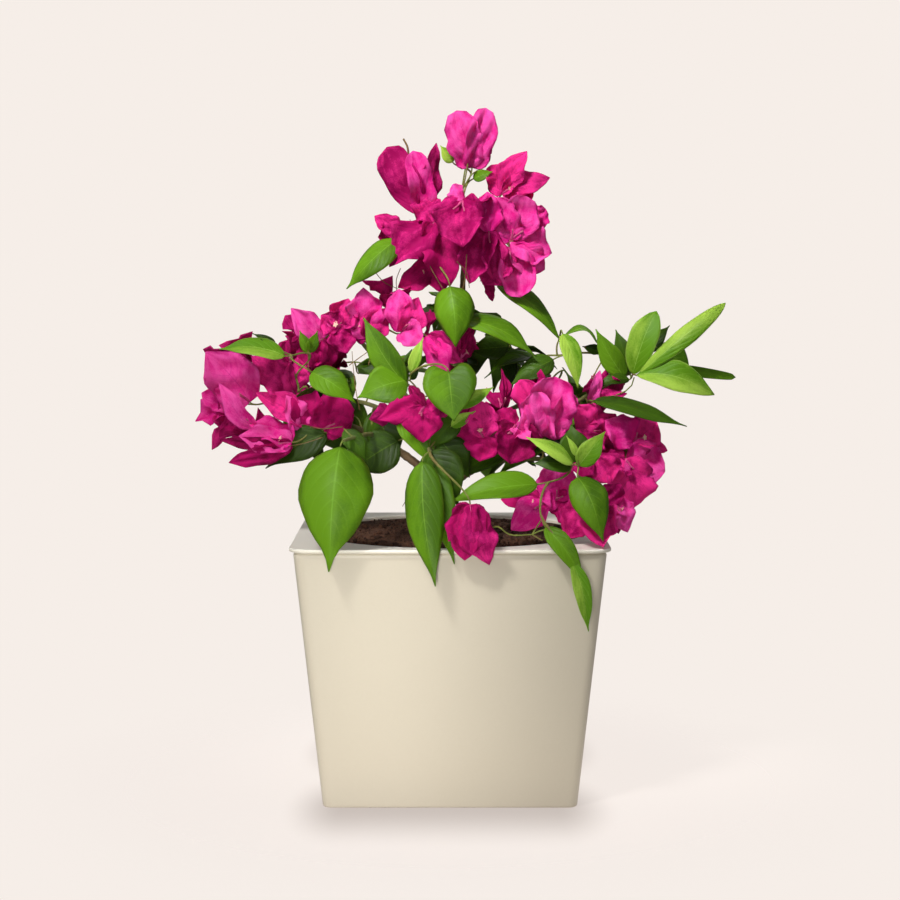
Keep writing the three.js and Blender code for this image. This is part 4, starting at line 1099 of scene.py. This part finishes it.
# Three bracts round an axis: they open by the given angle and their inner faces look towards it.
def growTrio(center, axis, length, opening, tone):
    side, other = framed(axis)
    start = rng.uniform(0, 2 * np.pi)
    rows = []
    for k in range(3):
        turn = start + 2 * np.pi * k / 3 + rng.uniform(-0.2, 0.2)
        spread = np.radians(opening + rng.uniform(-10, 10))
        radial = side * math.cos(turn) + other * math.sin(turn)
        reach = length * rng.uniform(*bractSize["reach"])
        run = axis * math.cos(spread) + radial * math.sin(spread)
        face = axis * math.sin(spread) - radial * math.cos(spread)
        shade = float(np.clip(tone + rng.normal() * bractSize["toneSpread"], 0, 1))
        tip = clearRim(center + run * reach)
        width = reach * rng.uniform(*bractSize["width"])
        if not coversOpening(center, tip):
            rows.append((center, tip, width, face, shade))
    return rows


# The bracts that show, as listed, with hidden ones added behind so that every bloom has its three. A
# bloom's axis is the mean of its bracts, leaning to the front.
def heroBracts():
    shown, hidden, blooms = [], [], []
    for center, *bracts in [plan for plans in bloomPlan.values() for plan in plans]:
        center = np.array(center, float)
        shown += [(center, *bract) for bract in bracts]
        runs = [np.array(tip, float) - center for tip, *_ in bracts]
        longest = max(np.linalg.norm(run) for run in runs)
        axis = unit(sum(runs) / len(runs) + np.array([0, -6.0, 0]))
        for _ in range(3 - len(bracts)):
            back = unit(np.array([rng.normal() * 0.6, 1.0, rng.normal() * 0.6]) - 0.5 * axis)
            reach = min(bractSize["hiddenReach"], 0.8 * longest)
            tip = clearRim(center + back * reach)
            row = (center, tip, reach * 0.8, unit(axis + [0, 0, 0.3]), rng.uniform(0, 0.3))
            if not coversOpening(center, tip):
                hidden.append(row)
        blooms.append((center, axis, min(1.0, longest / bractSize["full"])))
    return shown, hidden, blooms


# how many blooms grow in each mass and how far they are set back
bloomGrowth = {
    "bloom_top_front": (1, 14), "bloom_top_low_left": (1, 12), "bloom_top_back": (6, 0),
    "bloom_shoulder_left": (1, 12), "bloom_shoulder_middle": (2, 12), "bloom_left_far": (1, 12),
    "bloom_left_inner": (1, 14), "bloom_left_low": (1, 12), "bloom_middle": (1, 8), "bloom_centre": (2, 12),
    "bloom_right": (2, 14), "bloom_right_low": (1, 14), "bloom_centre_low": (1, 14),
    "bloom_back_left": (7, 0), "bloom_back_right": (6, 0), "bloom_back_upper": (4, 0),
    "bloom_back_low": (6, 0),
}


# Blooms of one mass: centres part of the way to its far corners, each facing away from the wood.
def growBlooms(name, count, setBack):
    cloud = nodePoints(name)
    middle = cloud.mean(axis=0)
    rows, blooms = [], []
    for far in spreadPoints(cloud, count):
        center = middle + 0.45 * (far - middle) + [0, setBack, 0]
        away = unit(center - nearestWood(middle) + [0, 0, 6])
        backward = [0, 0.5 if setBack else 0.0, 0]
        axis = unit(away + 0.5 * unit(far - middle) + backward + rng.normal(size=3) * 0.2)
        length = rng.uniform(*bractSize["length"])
        opening = rng.uniform(*bractSize["opening"])
        tone = rng.uniform(*bractSize["frontTones" if setBack else "backTones"])
        trio = growTrio(center, axis, length, opening, tone)
        if len(trio) == 3:
            rows += trio
            blooms.append((center, axis, length / bractSize["full"]))
    return rows, blooms


# Blades from a list: their form is drawn with a seed of their own, then what is special is set.
def listedBlades(kind, rows, calm, seed):
    blades = newBlades(kind, [row[:5] for row in rows], True, calm, np.random.default_rng(seed))
    for index, row in enumerate(rows):
        for changes in row[5:]:
            for label, value in changes.items():
                blades[label][index] = value
    return blades


leafRows = [row for name, plan in leafGrowth.items() for row in growLeaves(name, *plan)]
leafHero = listedBlades(leafKind, list(leafPlan.values()), 0.7, 5)
leaves = joinBlades([leafHero, newBlades(leafKind, leafRows, False)])

shown, hidden, blooms = heroBracts()
for name, plan in bloomGrowth.items():
    rows, more = growBlooms(name, *plan)
    hidden += rows
    blooms += more
bracts = joinBlades([listedBlades(bractKind, shown, 0.8, 34), newBlades(bractKind, hidden, False)])
print("grown:", len(leaves["width"]), "leaves,", len(bracts["width"]), "bracts,", len(blooms), "blooms")

leafNodes = [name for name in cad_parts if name.startswith(("leaf", "leaves"))]
bloomNodes = [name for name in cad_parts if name.startswith("bloom")]

leafLook = {
    "veinCount": 6.0, "veinSlant": 0.42, "ribWidth": 0.05, "cloud": 60.0, "grain": 900.0, "blotch": 0.5,
    "veinShow": 0.18, "ribShow": 0.6, "rimShow": 0.35, "underShow": 0.4, "crepe": 0.3, "quilt": 0.6,
    "bump": 0.4, "rough": 0.45, "shine": 0.16, "through": 0.2, "streaks": 7.0, "streakShow": 0.2,
}
bractLook = {
    "veinCount": 7.0, "veinSlant": 0.5, "ribWidth": 0.04, "cloud": 210.0, "grain": 1100.0, "blotch": 0.72,
    "veinShow": 0.28, "ribShow": 0.4, "rimShow": 0.35, "underShow": 0.12, "crepe": 0.55, "quilt": 0.6,
    "bump": 0.4, "rough": 0.68, "shine": 0.08, "through": 0.27, "streaks": 10.0, "streakShow": 0.3,
}
# colours of the three tones of each kind: low, high, veins, rim, underside. The darkest tone is partly the
# plant's own darker colour and partly painted shade, the palest partly painted light, and the pale rim of the
# palest leaves is a painted highlight along their edges.
leafTones = {
    "leavesDarkAndShaded": ((0.020, 0.045, 0.002, 1), (0.052, 0.125, 0.004, 1), (0.10, 0.19, 0.012, 1),
                   (0.05, 0.06, 0.006, 1), (0.07, 0.14, 0.018, 1)),
    "leavesGreen": ((0.058, 0.145, 0.003, 1), (0.135, 0.305, 0.008, 1), (0.24, 0.46, 0.04, 1),
                    (0.13, 0.14, 0.015, 1), (0.17, 0.33, 0.045, 1)),
    "leavesPaleAndLit": ((0.120, 0.30, 0.008, 1), (0.43, 0.66, 0.08, 1), (0.46, 0.70, 0.13, 1),
                    (0.48, 0.62, 0.16, 1), (0.32, 0.52, 0.10, 1)),
}
bractTones = {
    "bractsDeepAndShaded": ((0.22, 0.003, 0.055, 1), (0.60, 0.009, 0.170, 1), (0.26, 0.002, 0.07, 1),
                   (0.30, 0.006, 0.08, 1), (0.42, 0.006, 0.12, 1)),
    "bractsBright": ((0.42, 0.004, 0.120, 1), (0.90, 0.034, 0.310, 1), (0.42, 0.003, 0.13, 1),
                     (0.46, 0.012, 0.14, 1), (0.66, 0.014, 0.23, 1)),
    "bractsPaleAndLit": ((0.80, 0.017, 0.29, 1), (0.97, 0.105, 0.50, 1), (0.56, 0.008, 0.20, 1),
                   (0.60, 0.03, 0.22, 1), (0.80, 0.05, 0.35, 1)),
}


# One piece for each tone: the blade's own tone picks the piece, what is left of it blends low to high.
def buildTones(blades, kind, tones, look, nodes):
    share = np.clip(blades["tone"], 0, 0.999) * len(tones)
    for index, (name, colors) in enumerate(tones.items()):
        chosen = {label: value[share.astype(int) == index] for label, value in blades.items()}
        chosen["tone"] = np.clip(chosen["tone"] * len(tones) - index, 0, 1)
        full = dict(look, **dict(zip(("low", "high", "vein", "rim", "under"), colors)))
        finishPiece(bladePiece(name, chosen, kind), bladeMaterial(name, full), nodes)


buildTones(leaves, leafKind, leafTones, leafLook, leafNodes)
buildTones(bracts, bractKind, bractTones, bractLook, bloomNodes)


# Twigs and flowers

twigPlan = {
    "rows": 12, "sides": 6, "tip": 0.5, "base": 0.55, "gain": 0.012, "arrive": 32, "branching": 0.75,
    "looseLength": 0.35, "freshShare": 0.9, "dryShare": 1.3, "looseShare": 0.5,
}

# twigs seen on their own, each as points along it; the first letters of a name say young or dry
looseTwigs = {
    "rim": [(25, -112, 201), (33, -108, 203), (42, -106, 197), (57, -104, 197)],
    "rimForkUp": [(57, -104, 197), (63, -100, 206)],
    "rimForkRight": [(57, -104, 197), (63, -106, 200), (70, -110, 202)],
    "rimForkDown": [(57, -104, 197), (64, -106, 193)],
    "leftPetiole": [(-91, -60, 261), (-104, -62, 257), (-116, -50, 254)],
    "leftStem": [(-77, -50, 268), (-91, -44, 266), (-101, -34, 267)],
    "elbowA": [(-73, -30, 311), (-62, -26, 319), (-51, -22, 326)],
    "elbowB": [(-59, -30, 311), (-58, -26, 319), (-57, -22, 329)],
    "reddish": [(-65, -40, 279), (-68, -38, 294), (-70, -34, 311), (-71, -28, 321)],
    "crownHookA": [(-55, -18, 379), (-48, -16, 371), (-38, -14, 366)],
    "crownHookB": [(-36, -16, 381), (-39, -14, 373), (-39, -12, 365)],
    "crownStemC": [(-17, -34, 388), (-12, -34, 378), (-5, -36, 366)],
    "crownStemD": [(5, -36, 386), (12, -34, 378), (14, -30, 367)],
    "crownStemE": [(12, -40, 391), (11, -36, 376), (9, -34, 365)],
    "topStalk": [(12, -8, 457), (10, -8, 447), (8, -10, 433)],
    "budStalkA": [(9, -10, 438), (15, -12, 448), (20, -12, 452)],
    "budStalkB": [(9, -10, 436), (12, -12, 451), (13, -12, 457)],
    "shoot": [(79, -40, 269), (104, -30, 284), (121, -24, 289), (131, -22, 294), (134, -24, 302)],
    "yellowShoot": [(113, -12, 316), (108, -14, 308), (104, -16, 300)],
    "darkStem": [(-17, -30, 235), (-28, -20, 219), (-35, -10, 206)],
    "dryTip": [(-30, -8, 461), (-31, -8, 469), (-34, -8, 475)],
    "backTwigLeft": [(-104, -24, 331), (-103, -26, 321), (-102, -40, 308)],
}


# Twigs reach every leaf and bloom from the nearest wood grown so far. Each is a cubic curve that leaves
# the wood partly along it and arrives in the direction the leaf or bloom points.
def growTwigs(ends):
    spots = np.concatenate(list(paths.values()))
    flows = np.concatenate([unit(np.gradient(path, axis=0)) for path in paths.values()])
    order = np.argsort([np.linalg.norm(spots - point, axis=1).min() for point, _ in ends])
    t = np.linspace(0, 1, twigPlan["rows"])[:, None]
    keep = t[:, 0] < twigPlan["branching"]
    grown = []
    for index in order:
        point, direction = ends[index]
        away = point - spots
        distance = np.linalg.norm(away, axis=1)
        agree = np.sum(unit(away) * direction, axis=1)
        best = np.argmin(distance * (1.7 - 0.7 * agree))
        gap = distance[best]
        leave = unit(0.5 * flows[best] + 0.5 * unit(away[best]) + rng.normal(size=3) * 0.12) * gap
        arrive = direction * min(gap, twigPlan["arrive"])
        path = ((2 * t ** 3 - 3 * t ** 2 + 1) * spots[best] + (t ** 3 - 2 * t ** 2 + t) * leave
                + (3 * t ** 2 - 2 * t ** 3) * point + (t ** 3 - t ** 2) * arrive)
        grown.append(path)
        spots = np.concatenate([spots, path[keep]])
        flows = np.concatenate([flows, unit(np.gradient(path, axis=0))[keep]])
    return np.stack(grown)


# A twig's radius falls from its foot to its tip, and longer twigs start thicker.
def buildTwigs():
    ends = [(base, unit(tip - base)) for base, tip in zip(leaves["base"], leaves["tip"])]
    ends += [(center, axis) for center, axis, _ in blooms]
    grown = growTwigs(ends)
    loose = np.stack([smoothPath(spots, twigPlan["rows"]) for spots in looseTwigs.values()])
    allPaths = np.concatenate([grown, loose])
    lengths = np.linalg.norm(np.diff(allPaths, axis=1), axis=2).sum(axis=1)
    lengths[len(grown):] *= twigPlan["looseLength"]
    share = np.linspace(1, 0, twigPlan["rows"])[None]
    fresh, dry = (np.array([name.startswith(starts) for name in looseTwigs])[:, None]
                  for starts in (("rim", "shoot", "yellow", "top", "bud"), "dry"))
    thin, gain = twigPlan["tip"], twigPlan["gain"]
    radii = thin + (twigPlan["base"] - thin + gain * lengths[:, None]) * share
    old = np.where(dry, twigPlan["dryShare"], twigPlan["looseShare"])
    radii[len(grown):] *= np.where(fresh, twigPlan["freshShare"], old)
    young = np.clip(1.25 - radii * 0.75 + rng.uniform(-0.3, 0.3, (len(lengths), 1)), 0, 1)
    young[len(grown):] *= np.where(fresh, 1.0, 0.15)
    points, faces = tubes(allPaths, radii, twigPlan["sides"])
    marks = {"young": np.repeat(young.ravel(), twigPlan["sides"])}
    return makePiece("twigs", points, faces, [True, False, False], marks=marks)


twigBark = barkMaterial("twigBark", (0.23, 0.12, 0.05, 1), (0.20, 0.27, 0.045, 1), (0.12, 0.055, 0.03, 1))
finishPiece(buildTwigs(), twigBark, leafNodes)

flowerPlan = {"length": 10.0, "rows": 9, "sides": 10, "tilt": 0.42, "openShare": 0.15}


# Little tubes at the heart of each bloom: narrow, swollen low down, then open in a five-pointed star.
def buildFlowers():
    centers, axes, sizes = (np.repeat(column, 3, axis=0) for column in zip(*blooms))
    side, other = framed(axes)
    turn = np.tile([0, 2.09, 4.19], len(blooms)) + rng.uniform(0, maxPhase, len(axes))
    lean = side * np.cos(turn)[:, None] + other * np.sin(turn)[:, None]
    t = np.linspace(0, 1, flowerPlan["rows"])
    reach = (flowerPlan["length"] * sizes * rng.uniform(0.75, 1.1, len(sizes)))[:, None, None]
    bent = lean[:, None] * flowerPlan["tilt"] * t[:, None] ** 1.5
    path = centers[:, None] + (axes[:, None] * t[:, None] + bent) * reach
    opened = (rng.uniform(0, 1, len(sizes)) < flowerPlan["openShare"])[:, None]
    mouth = np.where(opened, 1.5, -0.1) * (np.maximum(t - 0.86, 0) / 0.14)
    radii = 0.55 + 0.45 * np.sin(np.pi * np.minimum(t * 1.6, 1)) + mouth
    star = 1 + 0.28 * np.cos(np.pi * np.arange(flowerPlan["sides"])) * (t[None, :, None] > 0.95)
    points, faces = tubes(path, radii, flowerPlan["sides"], star[..., None])
    pale = np.repeat((t ** 6 * np.where(opened, 1, 0.25)).ravel(), flowerPlan["sides"])
    return makePiece("flowers", points, faces, [True, False, False], marks={"mouth": pale})


# Dusky pink tubes with a pale mouth.
def flowerMaterial():
    material, surface = newMaterial("flowerTube")
    mottle = placeGroup(mottleGroup, Cloud=300.0, Grain=1500.0, Share=0.4)
    color = blendColor(mottle["Tone"], (0.42, 0.02, 0.16, 1), (0.55, 0.08, 0.22, 1))
    color = blendColor(mark("mouth"), color, (0.85, 0.50, 0.42, 1))
    setLook(surface, color, 0.55, 0.25)
    return material


finishPiece(buildFlowers(), flowerMaterial(), bloomNodes)
